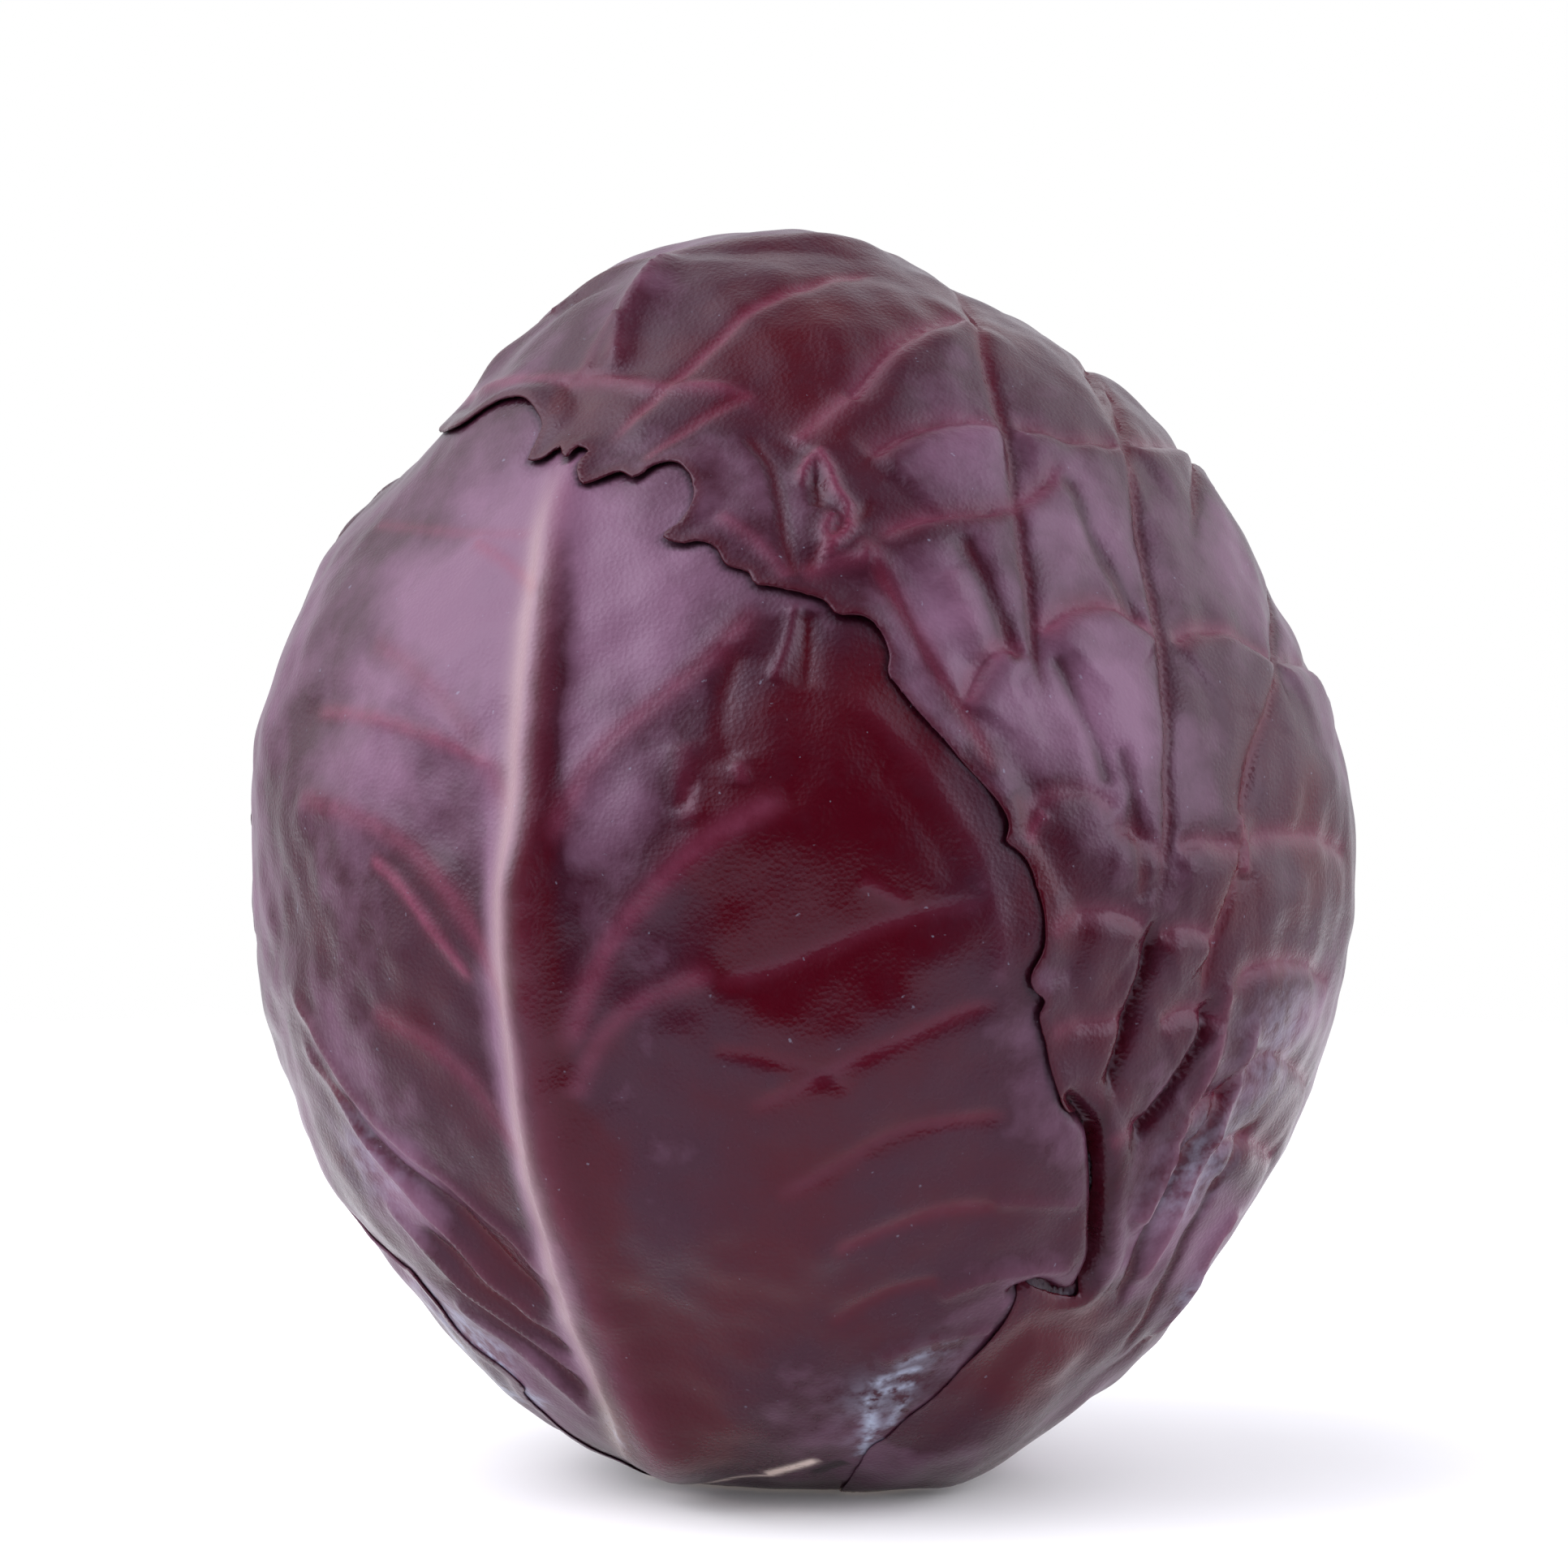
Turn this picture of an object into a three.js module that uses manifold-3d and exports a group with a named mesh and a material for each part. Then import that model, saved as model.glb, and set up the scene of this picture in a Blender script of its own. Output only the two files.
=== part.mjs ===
// Red cabbage head: three wrapper leaves round eight inner leaves, a tight heart and a cut stem.
// Millimetres, +Z up, front towards -Y. The origin is the middle of the stem's flat cut face.
import * as THREE from 'three';
import { mergeVertices } from 'three/addons/utils/BufferGeometryUtils.js';
import Module from 'manifold-3d';

// ---- Head: its outside as radii from one centre, every 15 degrees from straight down to straight up ----
const CENTRE_HEIGHT = 82;
const LEFT_RADII = [84, 84, 83.5, 79.4, 79, 77.9, 77.6, 78.9, 79.5, 79.2, 81.5, 86.8, 87.5];
const RIGHT_RADII = [84, 85, 81.7, 77.2, 75.6, 74.9, 75.1, 75.7, 74.4, 77, 79.8, 82, 87.5];
// Facets round the head and from pole to pole, for the wrapper leaves and for everything inside them.
const WRAPPER_FACETS = [28, 16];
const INNER_FACETS = [18, 11];

// ---- Leaves ----
const WRAPPER_BLADE = 0.9;
const WRAPPER_PITCH = 1.8;
const INNER_BLADE = 1.4;
const INNER_PITCH = 2.6;
const INNER_COUNT = 8;
const INNER_START = 6.4;
const FIRST_INNER_AZIMUTH = 107;
const LEAF_TURN = 137.5;
// Wrapper leaves lie side by side on the stem and slide under each other between these elevations.
const SIDE_BY_SIDE = -76;
const FULLY_LAYERED = -66;
const CUTTER_REACH = 220;

// ---- Stem and heart ----
const STEM_PROFILE = [[0, 0], [20, 0], [19, 8], [15, 20], [11, 36], [7, 52], [0, 60]];
const STEM_SIDES = 28;
const STEM_CLEARANCE = 0.5;
const HEART_DEPTH = INNER_START + INNER_COUNT * INNER_PITCH;

// Margins as [azimuth, elevation] in degrees, clockwise: azimuth 0 is the front, 90 the right.
// Each wrapper leaf also has its stretch of the ring round the stem, from its right to its left.
const RING_ELEVATION = -75;
const RING_STEP = 12;
const RIGHT_RING = [97, 26];
const RIGHT_MARGIN = [
  [35, -64], [44, -54], [49, -47], [44, -36], [36, -26], [28, -17], [26, -8], [24, 6],
  [17, 16], [11, 26], [-1, 35], [-18, 42], [-30, 49], [-55, 54], [-80, 52], [-85, 60],
  [-78, 70], [-50, 79], [60, 84], [130, 72], [148, 45], [146, 20], [143, 0], [138, -22],
  [122, -43], [106, -60], [101, -68],
];
const BACK_RING = [284, 102];
const BACK_MARGIN = [
  [107, -68], [111, -60], [112, -42], [110, -20], [108, 0], [108, 22], [104, 45], [88, 62],
  [55, 72], [15, 75], [-40, 74], [-74, 60], [-88, 44], [-92, 28], [-94, 10], [-92, -12],
  [-88, -30], [-86, -46], [-84, -60], [-82, -66],
];
const FRONT_RING = [22, -72];
const FRONT_MARGIN = [
  [-78, -66], [-92, -56], [-108, -40], [-119, -20], [-123, 0], [-121, 20], [-114, 45],
  [-98, 62], [-31, 76], [22, 60], [38, 40], [45, 20], [47, 0], [42, -16], [35, -25],
  [39, -36], [44, -46], [40, -54], [31, -65],
];
// One side of an inner leaf, measured from its midrib; its tip lies just past the crown.
const INNER_HALF_MARGIN = [
  [40, -70], [72, -52], [88, -32], [94, -8], [96, 16], [98, 38], [104, 54], [130, 70],
];
const INNER_BASE = [0, -70];
const INNER_TIP = [180, 78];

const COLOURS = {
  right: 0x5b2439,
  back: 0x55233a,
  front: 0x6a2f47,
  inner: 0x6b2c4b,
  heart: 0x8a5a78,
  stem: 0xe6dcc8,
};

const wasm = await Module();
wasm.setup();

const centre = new THREE.Vector3(0, 0, CENTRE_HEIGHT);
const leftCurve = radiusCurve(LEFT_RADII);
const rightCurve = radiusCurve(RIGHT_RADII);

function radiusCurve(radii) {
  return new THREE.SplineCurve(radii.map((radius, i) => new THREE.Vector2(i, radius)));
}

function direction(azimuth, elevation) {
  const a = THREE.MathUtils.degToRad(azimuth);
  const e = THREE.MathUtils.degToRad(elevation);
  return new THREE.Vector3(Math.sin(a) * Math.cos(e), -Math.cos(a) * Math.cos(e), Math.sin(e));
}

function elevationOf(d) {
  return THREE.MathUtils.radToDeg(Math.asin(THREE.MathUtils.clamp(d.z, -1, 1)));
}

// Distance from the centre to the outside of the head, blended between its left and right profiles.
function headRadius(d) {
  const t = (elevationOf(d) + 90) / 180;
  const left = leftCurve.getPoint(t).y;
  const right = rightCurve.getPoint(t).y;
  const across = Math.hypot(d.x, d.y);
  const side = across > 1e-6 ? d.x / across : 0;
  return (left + right) / 2 + ((right - left) / 2) * side;
}

function layered(d) {
  return THREE.MathUtils.smoothstep(elevationOf(d), SIDE_BY_SIDE, FULLY_LAYERED);
}

// ---- Solids ----
function solid(geometry) {
  geometry.deleteAttribute('normal');
  geometry.deleteAttribute('uv');
  const merged = mergeVertices(geometry, 1e-5);
  return new wasm.Manifold(new wasm.Mesh({
    numProp: 3,
    vertProperties: merged.attributes.position.array,
    triVerts: new Uint32Array(merged.index.array),
  }));
}

function geometryOf(manifold) {
  const mesh = manifold.getMesh();
  const geometry = new THREE.BufferGeometry();
  geometry.setAttribute('position', new THREE.BufferAttribute(mesh.vertProperties, 3));
  geometry.setIndex(new THREE.BufferAttribute(mesh.triVerts, 1));
  const flat = geometry.toNonIndexed();
  flat.computeVertexNormals();
  return flat;
}

// A full closed skin of the head, sunk below its outside by depth(direction).
function skin(depth, facets) {
  const geometry = new THREE.SphereGeometry(1, ...facets);
  geometry.rotateX(Math.PI / 2);
  const position = geometry.attributes.position;
  const d = new THREE.Vector3();
  for (let i = 0; i < position.count; i += 1) {
    d.fromBufferAttribute(position, i).normalize();
    const radius = headRadius(d) - depth(d);
    position.setXYZ(i, d.x * radius, d.y * radius, CENTRE_HEIGHT + d.z * radius);
  }
  return solid(geometry);
}

function stemRing([from, to]) {
  const steps = Math.ceil((from - to) / RING_STEP);
  return Array.from({ length: steps + 1 }, (_, i) => [
    from + ((to - from) * i) / steps,
    RING_ELEVATION,
  ]);
}

// The cone of all directions inside a margin, seen from the head's centre.
function marginCone(margin, hub) {
  const rim = margin.map(([azimuth, elevation]) => direction(azimuth, elevation));
  const points = [new THREE.Vector3(), direction(...hub), ...rim];
  const positions = points.flatMap((p) => p.multiplyScalar(CUTTER_REACH).add(centre).toArray());
  const faces = [];
  rim.forEach((point, i) => {
    const here = i + 2;
    const next = ((i + 1) % rim.length) + 2;
    faces.push(0, here, next, 1, next, here);
  });
  const geometry = new THREE.BufferGeometry();
  geometry.setAttribute('position', new THREE.Float32BufferAttribute(positions, 3));
  geometry.setIndex(faces);
  return solid(geometry);
}

function leafSolid(margin, hub, depth, blade, facets) {
  const outside = skin(depth, facets);
  const inside = skin((d) => depth(d) + blade, facets);
  return outside.subtract(inside).intersect(marginCone(margin, hub));
}

function stemGeometry(grow) {
  const profile = STEM_PROFILE.map(([radius, height]) => new THREE.Vector2(
    radius > 0 ? radius + grow : 0,
    height > 0 ? height + grow : -grow,
  ));
  const geometry = new THREE.LatheGeometry(profile, STEM_SIDES);
  geometry.rotateX(Math.PI / 2);
  return geometry;
}

function mesh(name, geometry, colour, roughness) {
  const material = new THREE.MeshStandardMaterial({ color: colour, roughness, metalness: 0 });
  const result = new THREE.Mesh(geometry, material);
  result.name = name;
  return result;
}

// ---- Pieces ----
function wrapperLeaf(name, ring, sides, hub, layer, colour) {
  const depth = (d) => layer * WRAPPER_PITCH * layered(d);
  const margin = [...stemRing(ring), ...sides];
  const leaf = leafSolid(margin, hub, depth, WRAPPER_BLADE, WRAPPER_FACETS);
  return mesh(name, geometryOf(leaf), colour, 0.42);
}

function innerLeaf(index) {
  const azimuth = FIRST_INNER_AZIMUTH + index * LEAF_TURN;
  const oneSide = INNER_HALF_MARGIN;
  const otherSide = [...INNER_HALF_MARGIN].reverse().map(([a, e]) => [-a, e]);
  const outline = [INNER_BASE, ...oneSide, INNER_TIP, ...otherSide].reverse();
  const margin = outline.map(([a, e]) => [azimuth + a, e]);
  const sunk = INNER_START + index * INNER_PITCH;
  const leaf = leafSolid(margin, [azimuth, 10], () => sunk, INNER_BLADE, INNER_FACETS);
  return mesh(`inner_leaf_${index + 1}`, geometryOf(leaf), COLOURS.inner, 0.5);
}

function heart() {
  const ball = skin(() => HEART_DEPTH, INNER_FACETS);
  const pocket = solid(stemGeometry(STEM_CLEARANCE));
  return mesh('heart', geometryOf(ball.subtract(pocket)), COLOURS.heart, 0.55);
}

function cutStem() {
  return mesh('cut_stem', stemGeometry(0), COLOURS.stem, 0.7);
}

const cabbage = new THREE.Group();
cabbage.add(
  wrapperLeaf('right_wrapper_leaf', RIGHT_RING, RIGHT_MARGIN, [50, 12], 0, COLOURS.right),
  wrapperLeaf('back_wrapper_leaf', BACK_RING, BACK_MARGIN, [190, 5], 1, COLOURS.back),
  wrapperLeaf('front_wrapper_leaf', FRONT_RING, FRONT_MARGIN, [-35, 2], 2, COLOURS.front),
);
for (let i = 0; i < INNER_COUNT; i += 1) {
  cabbage.add(innerLeaf(i));
}
cabbage.add(heart());
cabbage.add(cutStem());

export default cabbage;
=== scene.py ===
"""Red cabbage head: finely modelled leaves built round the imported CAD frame, and their materials.

Shapes are worked out in millimetres round the head's centre and scaled to the frame at the end.
A direction is a unit vector from that centre. Sketch points are (right, up) on the plane through the
head's axis that squarely faces the camera, and they are carried along the camera's rays to the head.
"""

import bpy
import numpy as np
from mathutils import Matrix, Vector


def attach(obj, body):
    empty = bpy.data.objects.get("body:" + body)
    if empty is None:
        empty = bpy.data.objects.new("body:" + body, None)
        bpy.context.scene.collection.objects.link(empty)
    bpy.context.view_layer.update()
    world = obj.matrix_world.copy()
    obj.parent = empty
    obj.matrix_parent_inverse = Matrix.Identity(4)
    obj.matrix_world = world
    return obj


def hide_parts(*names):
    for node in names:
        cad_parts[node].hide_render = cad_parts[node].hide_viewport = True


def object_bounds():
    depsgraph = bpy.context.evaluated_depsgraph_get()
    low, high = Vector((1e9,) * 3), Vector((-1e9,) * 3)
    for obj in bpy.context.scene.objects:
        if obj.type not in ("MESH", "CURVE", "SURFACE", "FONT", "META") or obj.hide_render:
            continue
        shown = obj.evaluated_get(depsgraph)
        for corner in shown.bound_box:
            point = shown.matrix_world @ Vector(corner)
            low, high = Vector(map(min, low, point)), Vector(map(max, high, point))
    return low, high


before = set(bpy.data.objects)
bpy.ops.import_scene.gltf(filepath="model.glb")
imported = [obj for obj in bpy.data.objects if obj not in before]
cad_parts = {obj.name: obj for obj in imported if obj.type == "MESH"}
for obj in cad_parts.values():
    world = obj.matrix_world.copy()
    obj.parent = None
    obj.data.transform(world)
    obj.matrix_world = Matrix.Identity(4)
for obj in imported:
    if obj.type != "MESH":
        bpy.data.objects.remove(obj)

CAD_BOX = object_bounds()

# ---- Driving dimensions, mm and degrees ----
CAD_WIDTH = 150.4
UNIT = (CAD_BOX[1].x - CAD_BOX[0].x) / CAD_WIDTH     # metres in a millimetre
CENTRE = np.array([0.0, 0.0, 82.0])
MEAN_RADIUS = 77.0
PROFILE_STEP = 15.0      # degrees of elevation between the radii, from the base to the top
LEFT_RADII = [84, 84, 81.3, 76.9, 76.5, 75.4, 75.1, 76.4, 77.2, 77.4, 80.7, 86.8, 87.5]
RIGHT_RADII = [84, 85, 81.7, 77.2, 75.6, 74.9, 75.1, 75.7, 74.4, 77.0, 79.8, 82.0, 87.5]
CUT_HEIGHT = 0.35        # the leaves' cut bases stand this far above the floor
LEAF_SINK = 2.2          # how far a leaf lies lower where another covers it
COVERED_AT = 9.0         # the depth under a leaf at which it has sunk as far as it goes
CLEAR_FROM = 4.0         # the depth from which it also clears the cover's folds
COVER_FLATTENS = 0.6     # the part of its own relief that a covered leaf loses
LEAF_GAP = 0.12
BLADE = 0.75
MARGIN_BLADE = 0.4
MARGIN_REACH = 12.0      # how far inside a leaf its margin still shapes it
RIB_BLADE = 3.4
PILLOW_REACH = 12.0      # beyond this distance from a vein the blade's pillow is level
MARGIN_LIFT = 0.45       # how far a free margin curls off the leaf beneath
MARGIN_ROUND = 0.42      # how far a margin bulges, in blade thicknesses
LEAF_SPACING = 0.75
INNER_SPACING = 2.6
BLOCK_DEPTH = 1.5        # the inside of a leaf is coarser beyond this depth from its margin
NEAREST_POINT = 0.04     # grid points closer than this to a margin count as this far inside it
CUT_CLEAR = 0.12         # the least part of a cell's side that a cut along the margin leaves
CHART_LIMIT = np.pi * 0.95     # grid points beyond this angle from a leaf's hub are left out
PATH_RUN = 24            # points of a margin that are measured together
RAY_STEPS = 60           # steps of a camera ray towards the head
RAY_PACE = 0.8           # the part of the clear distance that each step takes

VIEW_TILT = np.radians(5.0)
VIEW_DISTANCE = 900.0
VIEW_WIDTH = 215.0
SENSOR = 36.0
AIM = (-2.3, 93.7)
SKETCH_RIGHT = np.array([1.0, 0.0, 0.0])
SKETCH_UP = np.array([0.0, np.sin(VIEW_TILT), np.cos(VIEW_TILT)])
SIGHT = np.array([0.0, np.cos(VIEW_TILT), -np.sin(VIEW_TILT)])
EYE = AIM[0] * SKETCH_RIGHT + AIM[1] * SKETCH_UP - VIEW_DISTANCE * SIGHT


# ---- Curves and the head's outside ----
def unit(v):
    return v / np.linalg.norm(v, axis=-1, keepdims=True)


def ease(low, high, x):
    """A smooth step from 0 at low to 1 at high."""
    f = np.clip((x - low) / (high - low), 0, 1)
    return f * f * (3 - 2 * f)


def through(values, t):
    """A smooth curve through equally spaced values, at positions t counted from the first."""
    v = np.asarray(values, float)
    last = len(v) - 1
    i = np.clip(np.floor(t).astype(int), 0, last - 1)
    f = (t - i)[:, None] if v.ndim > 1 else t - i
    a, b, c, d = v[np.maximum(i - 1, 0)], v[i], v[i + 1], v[np.minimum(i + 2, last)]
    return b + 0.5 * f * (c - a + f * (2 * a - 5 * b + 4 * c - d + f * (3 * (b - c) + d - a)))


def head_radius(d):
    """The head's radius in each direction, between its left and right profiles."""
    elevation = np.degrees(np.arcsin(np.clip(d[:, 2], -1, 1)))
    t = (elevation + 90) / PROFILE_STEP
    left, right = through(LEFT_RADII, t), through(RIGHT_RADII, t)
    side = d[:, 0] / np.maximum(np.hypot(d[:, 0], d[:, 1]), 1e-6)
    return (left + right) / 2 + (right - left) / 2 * side


def on_globe(points):
    """Directions of (azimuth, elevation) points; azimuth 0 is the front and 90 the right."""
    a, e = np.radians(np.asarray(points, float)).T
    return np.stack([np.sin(a) * np.cos(e), -np.cos(a) * np.cos(e), np.sin(e)], 1)


def on_leaf(points, azimuth):
    """Directions of (along, across) points of a leaf whose midrib stands at an azimuth."""
    s, t = np.radians(np.asarray(points, float)).T
    a = np.radians(azimuth)
    out, side = np.array([np.sin(a), -np.cos(a), 0]), np.array([np.cos(a), np.sin(a), 0])
    up = np.array([0, 0, 1.0])
    level, lift = np.cos(t) * np.cos(s), np.cos(t) * np.sin(s)
    return level[:, None] * out + lift[:, None] * up + np.sin(t)[:, None] * side


def on_sketch(points):
    """Directions of the places on the head's near side that sketch points cover."""
    p = np.asarray(points, float)
    ray = unit(p[:, :1] * SKETCH_RIGHT + p[:, 1:] * SKETCH_UP - EYE)
    nearest = (CENTRE - EYE) @ ray.T
    t = nearest - 1.2 * MEAN_RADIUS
    for _ in range(RAY_STEPS):
        q = EYE + ray * t[:, None] - CENTRE
        clear = np.linalg.norm(q, axis=1) - head_radius(unit(q))
        t = np.minimum(t + RAY_PACE * clear, nearest)
    return unit(EYE + ray * t[:, None] - CENTRE)


def smooth_path(directions, step=2.0, closed=False):
    """Points along a smooth curve through directions, on the mean sphere, about step mm apart."""
    d = np.vstack([directions, directions[:1]]) if closed else directions
    spans = np.linalg.norm(np.diff(d, axis=0), axis=1) * MEAN_RADIUS
    t = np.concatenate(
        [i + np.linspace(0, 1, max(1, round(s / step)), endpoint=False) for i, s in enumerate(spans)]
        + [[len(d) - 1]]
    )
    return unit(through(d, t)) * MEAN_RADIUS


def measure(points, path, reach):
    """Distance from a path, place along it (0 to 1) and side, for points within reach of it."""
    middle = path.mean(0)
    span = np.linalg.norm(path - middle, axis=1).max() + reach
    near = np.flatnonzero(((points - middle) ** 2).sum(1) < span * span)
    p = points[near]
    start, step = path[:-1], np.diff(path, axis=0)
    length2, start2, ahead = (step ** 2).sum(1), (start ** 2).sum(1), (start * step).sum(1)
    along = p @ step.T - ahead
    f = np.clip(along / length2, 0, 1)
    d2 = (p ** 2).sum(1)[:, None] - 2 * p @ start.T + start2 + f * (f * length2 - 2 * along)
    best = np.argmin(d2, axis=1)
    rows = np.arange(len(p))
    d2, f = np.maximum(d2[rows, best], 0), f[rows, best]
    left = np.cross(step, start)[best]
    side = np.sign(((p - start[best]) * left).sum(1))
    keep = d2 < reach * reach
    return near[keep], np.sqrt(d2[keep]), ((best + f) / len(step))[keep], side[keep]


class Waves:
    """Smooth repeatable noise from sine waves in random directions."""

    def __init__(self, seed, wavelength, count=28):
        rng = np.random.default_rng(seed)
        self.k = unit(rng.normal(size=(count, 3))) * (2 * np.pi / wavelength)
        self.k *= rng.uniform(0.6, 1.5, (count, 1))
        self.phase = rng.uniform(0, 2 * np.pi, count)

    def __call__(self, p):
        return np.sin(p @ self.k.T + self.phase).sum(1) / np.sqrt(len(self.phase) / 2)


# ---- Leaf outlines and meshes ----
class Outline:
    """A leaf's margin: a closed path of directions, with a flat chart round its hub."""

    def __init__(self, hub, directions, step=0.6):
        self.hub = on_globe([hub])[0]
        self.east = unit(np.cross([0, 0, 1.0], self.hub))
        self.north = np.cross(self.hub, self.east)
        self.path = smooth_path(directions, step, closed=True)
        self.flat = self.chart(unit(self.path))

    def chart(self, d):
        angle = np.arccos(np.clip(d @ self.hub, -1, 1))
        x, y = d @ self.east, d @ self.north
        scale = angle / np.maximum(np.hypot(x, y), 1e-9)
        return np.stack([x * scale, y * scale], 1)

    def unchart(self, xy):
        angle = np.linalg.norm(xy, axis=1)
        sweep = (np.sin(angle) / np.maximum(angle, 1e-9))[:, None] * xy
        return np.cos(angle)[:, None] * self.hub + sweep[:, :1] * self.east + sweep[:, 1:] * self.north

    def inside(self, d):
        x, y = self.chart(d).T
        result = np.zeros(len(d), bool)
        (ax, ay), (bx, by) = self.flat.T, np.roll(self.flat, -1, 0).T
        for x0, y0, x1, y1 in zip(ax, ay, bx, by):
            if y0 != y1:
                crosses = (y0 > y) != (y1 > y)
                result ^= crosses & (x < (x1 - x0) * (y - y0) / (y1 - y0) + x0)
        return result

    def depth(self, d, reach):
        """Distance inside the margin, negative outside it, held to the reach."""
        distance = np.full(len(d), float(reach))
        for start in range(0, len(self.path) - 1, PATH_RUN):
            run = self.path[start:start + PATH_RUN + 1]
            near, away, _, _ = measure(d * MEAN_RADIUS, run, reach)
            distance[near] = np.minimum(distance[near], away)
        return np.where(self.inside(d), distance, -distance)


def chart_grid(outline, spacing):
    """A square grid over an outline's chart, and each point's depth inside it by row and column."""
    low, high = outline.flat.min(0) - 2 * spacing, outline.flat.max(0) + 2 * spacing
    xs, ys = np.arange(low[0], high[0], spacing), np.arange(low[1], high[1], spacing)
    grid = np.stack(np.meshgrid(xs, ys, indexing="ij"), -1).reshape(-1, 2)
    within = np.linalg.norm(grid, axis=1) < CHART_LIMIT
    depth = np.full(len(grid), -1.0)
    depth[within] = outline.depth(outline.unchart(grid[within]), 2 * BLOCK_DEPTH)
    depth[np.abs(depth) < NEAREST_POINT] = NEAREST_POINT
    return grid, depth.reshape(len(xs), len(ys))


def cell_triangles(deep, rows, columns):
    """Two triangles for each cell, on alternate diagonals, and which of them lie in deep blocks."""
    i, j = np.meshgrid(np.arange(rows - 1), np.arange(columns - 1), indexing="ij")
    corner = (i * columns + j).ravel()
    square = np.stack([corner, corner + columns, corner + columns + 1, corner + 1], 1)
    flip = ((i + j) % 2).ravel().astype(bool)
    triangles = np.vstack([
        square[~flip][:, [0, 1, 2]], square[~flip][:, [0, 2, 3]],
        square[flip][:, [0, 1, 3]], square[flip][:, [1, 2, 3]],
    ])
    block = deep[i // 2, j // 2].ravel()
    return triangles, np.concatenate([block[~flip], block[~flip], block[flip], block[flip]])


def cut_along(grid, depth, triangles):
    """New points where the outline crosses triangles, and the parts of these that lie inside it."""
    inside = depth[triangles] > 0
    count = inside.sum(1)
    edges, cut = [], {}
    for kept in (1, 2):
        part, mask = triangles[count == kept], inside[count == kept]
        # Turn each triangle so that its odd corner comes first.
        odd = np.argmax(mask if kept == 1 else ~mask, axis=1)
        part = np.take_along_axis(part, (odd[:, None] + np.arange(3)) % 3, 1)
        edges += [part[:, [0, 1]], part[:, [0, 2]]]
        cut[kept] = part
    unique, index = np.unique(np.sort(np.vstack(edges), axis=1), axis=0, return_inverse=True)
    a, b = unique.T
    f = np.clip(depth[a] / (depth[a] - depth[b]), CUT_CLEAR, 1 - CUT_CLEAR)[:, None]
    points = grid[a] * (1 - f) + grid[b] * f
    ends = np.split(index.ravel() + len(grid), np.cumsum([len(e) for e in edges])[:-1])
    tips, stumps = cut[1], cut[2]
    return points, np.vstack([
        np.stack([tips[:, 0], ends[0], ends[1]], 1),
        np.stack([ends[2], stumps[:, 1], stumps[:, 2]], 1),
        np.stack([ends[2], stumps[:, 2], ends[3]], 1),
    ])


def clipped_grid(outline, spacing):
    """Chart points of a grid cut off along an outline, with fine triangles and coarser ones."""
    grid, depth = chart_grid(outline, spacing)
    rows, columns = depth.shape
    deep = deep_blocks(depth)
    triangles, covered = cell_triangles(deep, rows, columns)
    depth = depth.ravel()
    crossings, border = cut_along(grid, depth, triangles)
    whole = (depth[triangles] > 0).all(1)
    fine = np.vstack([triangles[whole], border])
    coarse = np.vstack([triangles[whole & ~covered], border, block_triangles(deep, columns)])
    used, fine = np.unique(fine, return_inverse=True)
    return np.vstack([grid, crossings])[used], fine.reshape(-1, 3), np.searchsorted(used, coarse)


def deep_blocks(depth):
    """Which 2 x 2 blocks of cells lie well inside the outline; the last row and column never do."""
    rows, columns = (depth.shape[0] - 1) // 2, (depth.shape[1] - 1) // 2
    deep = np.zeros((depth.shape[0] // 2 + 1, depth.shape[1] // 2 + 1), bool)
    far = depth > BLOCK_DEPTH
    whole = np.ones((rows, columns), bool)
    for i in range(3):
        for j in range(3):
            whole &= far[i:i + 2 * rows:2, j:j + 2 * columns:2][:rows, :columns]
    deep[:rows, :columns] = whole
    return deep


def block_triangles(deep, n):
    """Triangles of deep blocks in a grid of n columns; a side beside finer cells keeps its middle."""
    sides = ((0, n, 0, -1), (2 * n, 2 * n + 1, 1, 0), (2 * n + 2, n + 2, 0, 1), (2, 1, -1, 0))
    faces = []
    for i, j in zip(*np.nonzero(deep)):
        start = 2 * i * n + 2 * j
        ring = []
        for corner, middle, over, up in sides:
            ring.append(start + corner)
            if not deep[i + over, j + up]:
                ring.append(start + middle)
        if len(ring) == 4:
            faces += [(ring[0], ring[1], ring[2]), (ring[0], ring[2], ring[3])]
        else:
            faces += [(start + n + 1, a, b) for a, b in zip(ring, ring[1:] + ring[:1])]
    return np.array(faces)


def rim_edges(faces):
    """Directed edges that only one triangle has."""
    e = np.vstack([faces[:, [0, 1]], faces[:, [1, 2]], faces[:, [2, 0]]])
    key = np.sort(e, axis=1)
    _, index, count = np.unique(key, axis=0, return_inverse=True, return_counts=True)
    return e[count[index.ravel()] == 1]


def new_mesh(name, points, triangles):
    mesh = bpy.data.meshes.new(name)
    mesh.vertices.add(len(points))
    mesh.vertices.foreach_set("co", points.astype(np.float32).ravel())
    mesh.loops.add(3 * len(triangles))
    mesh.loops.foreach_set("vertex_index", triangles.astype(np.int32).ravel())
    mesh.polygons.add(len(triangles))
    mesh.polygons.foreach_set("loop_start", np.arange(0, 3 * len(triangles), 3, dtype=np.int32))
    mesh.polygons.foreach_set("use_smooth", np.ones(len(triangles), bool))
    mesh.update(calc_edges=True)
    mesh.validate()
    return mesh


def add_object(name, data):
    made = bpy.data.objects.new(name, data)
    bpy.context.collection.objects.link(made)
    return made


def solid(name, points, faces, paint, material):
    """A closed piece from points in mm, with its paints and its material."""
    mesh = new_mesh(name, points * UNIT, faces)
    for key, value in paint.items():
        mesh.attributes.new(key, "FLOAT", "POINT").data.foreach_set("value", value.astype(np.float32))
    mesh.materials.append(material)
    return add_object(name, mesh)


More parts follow.
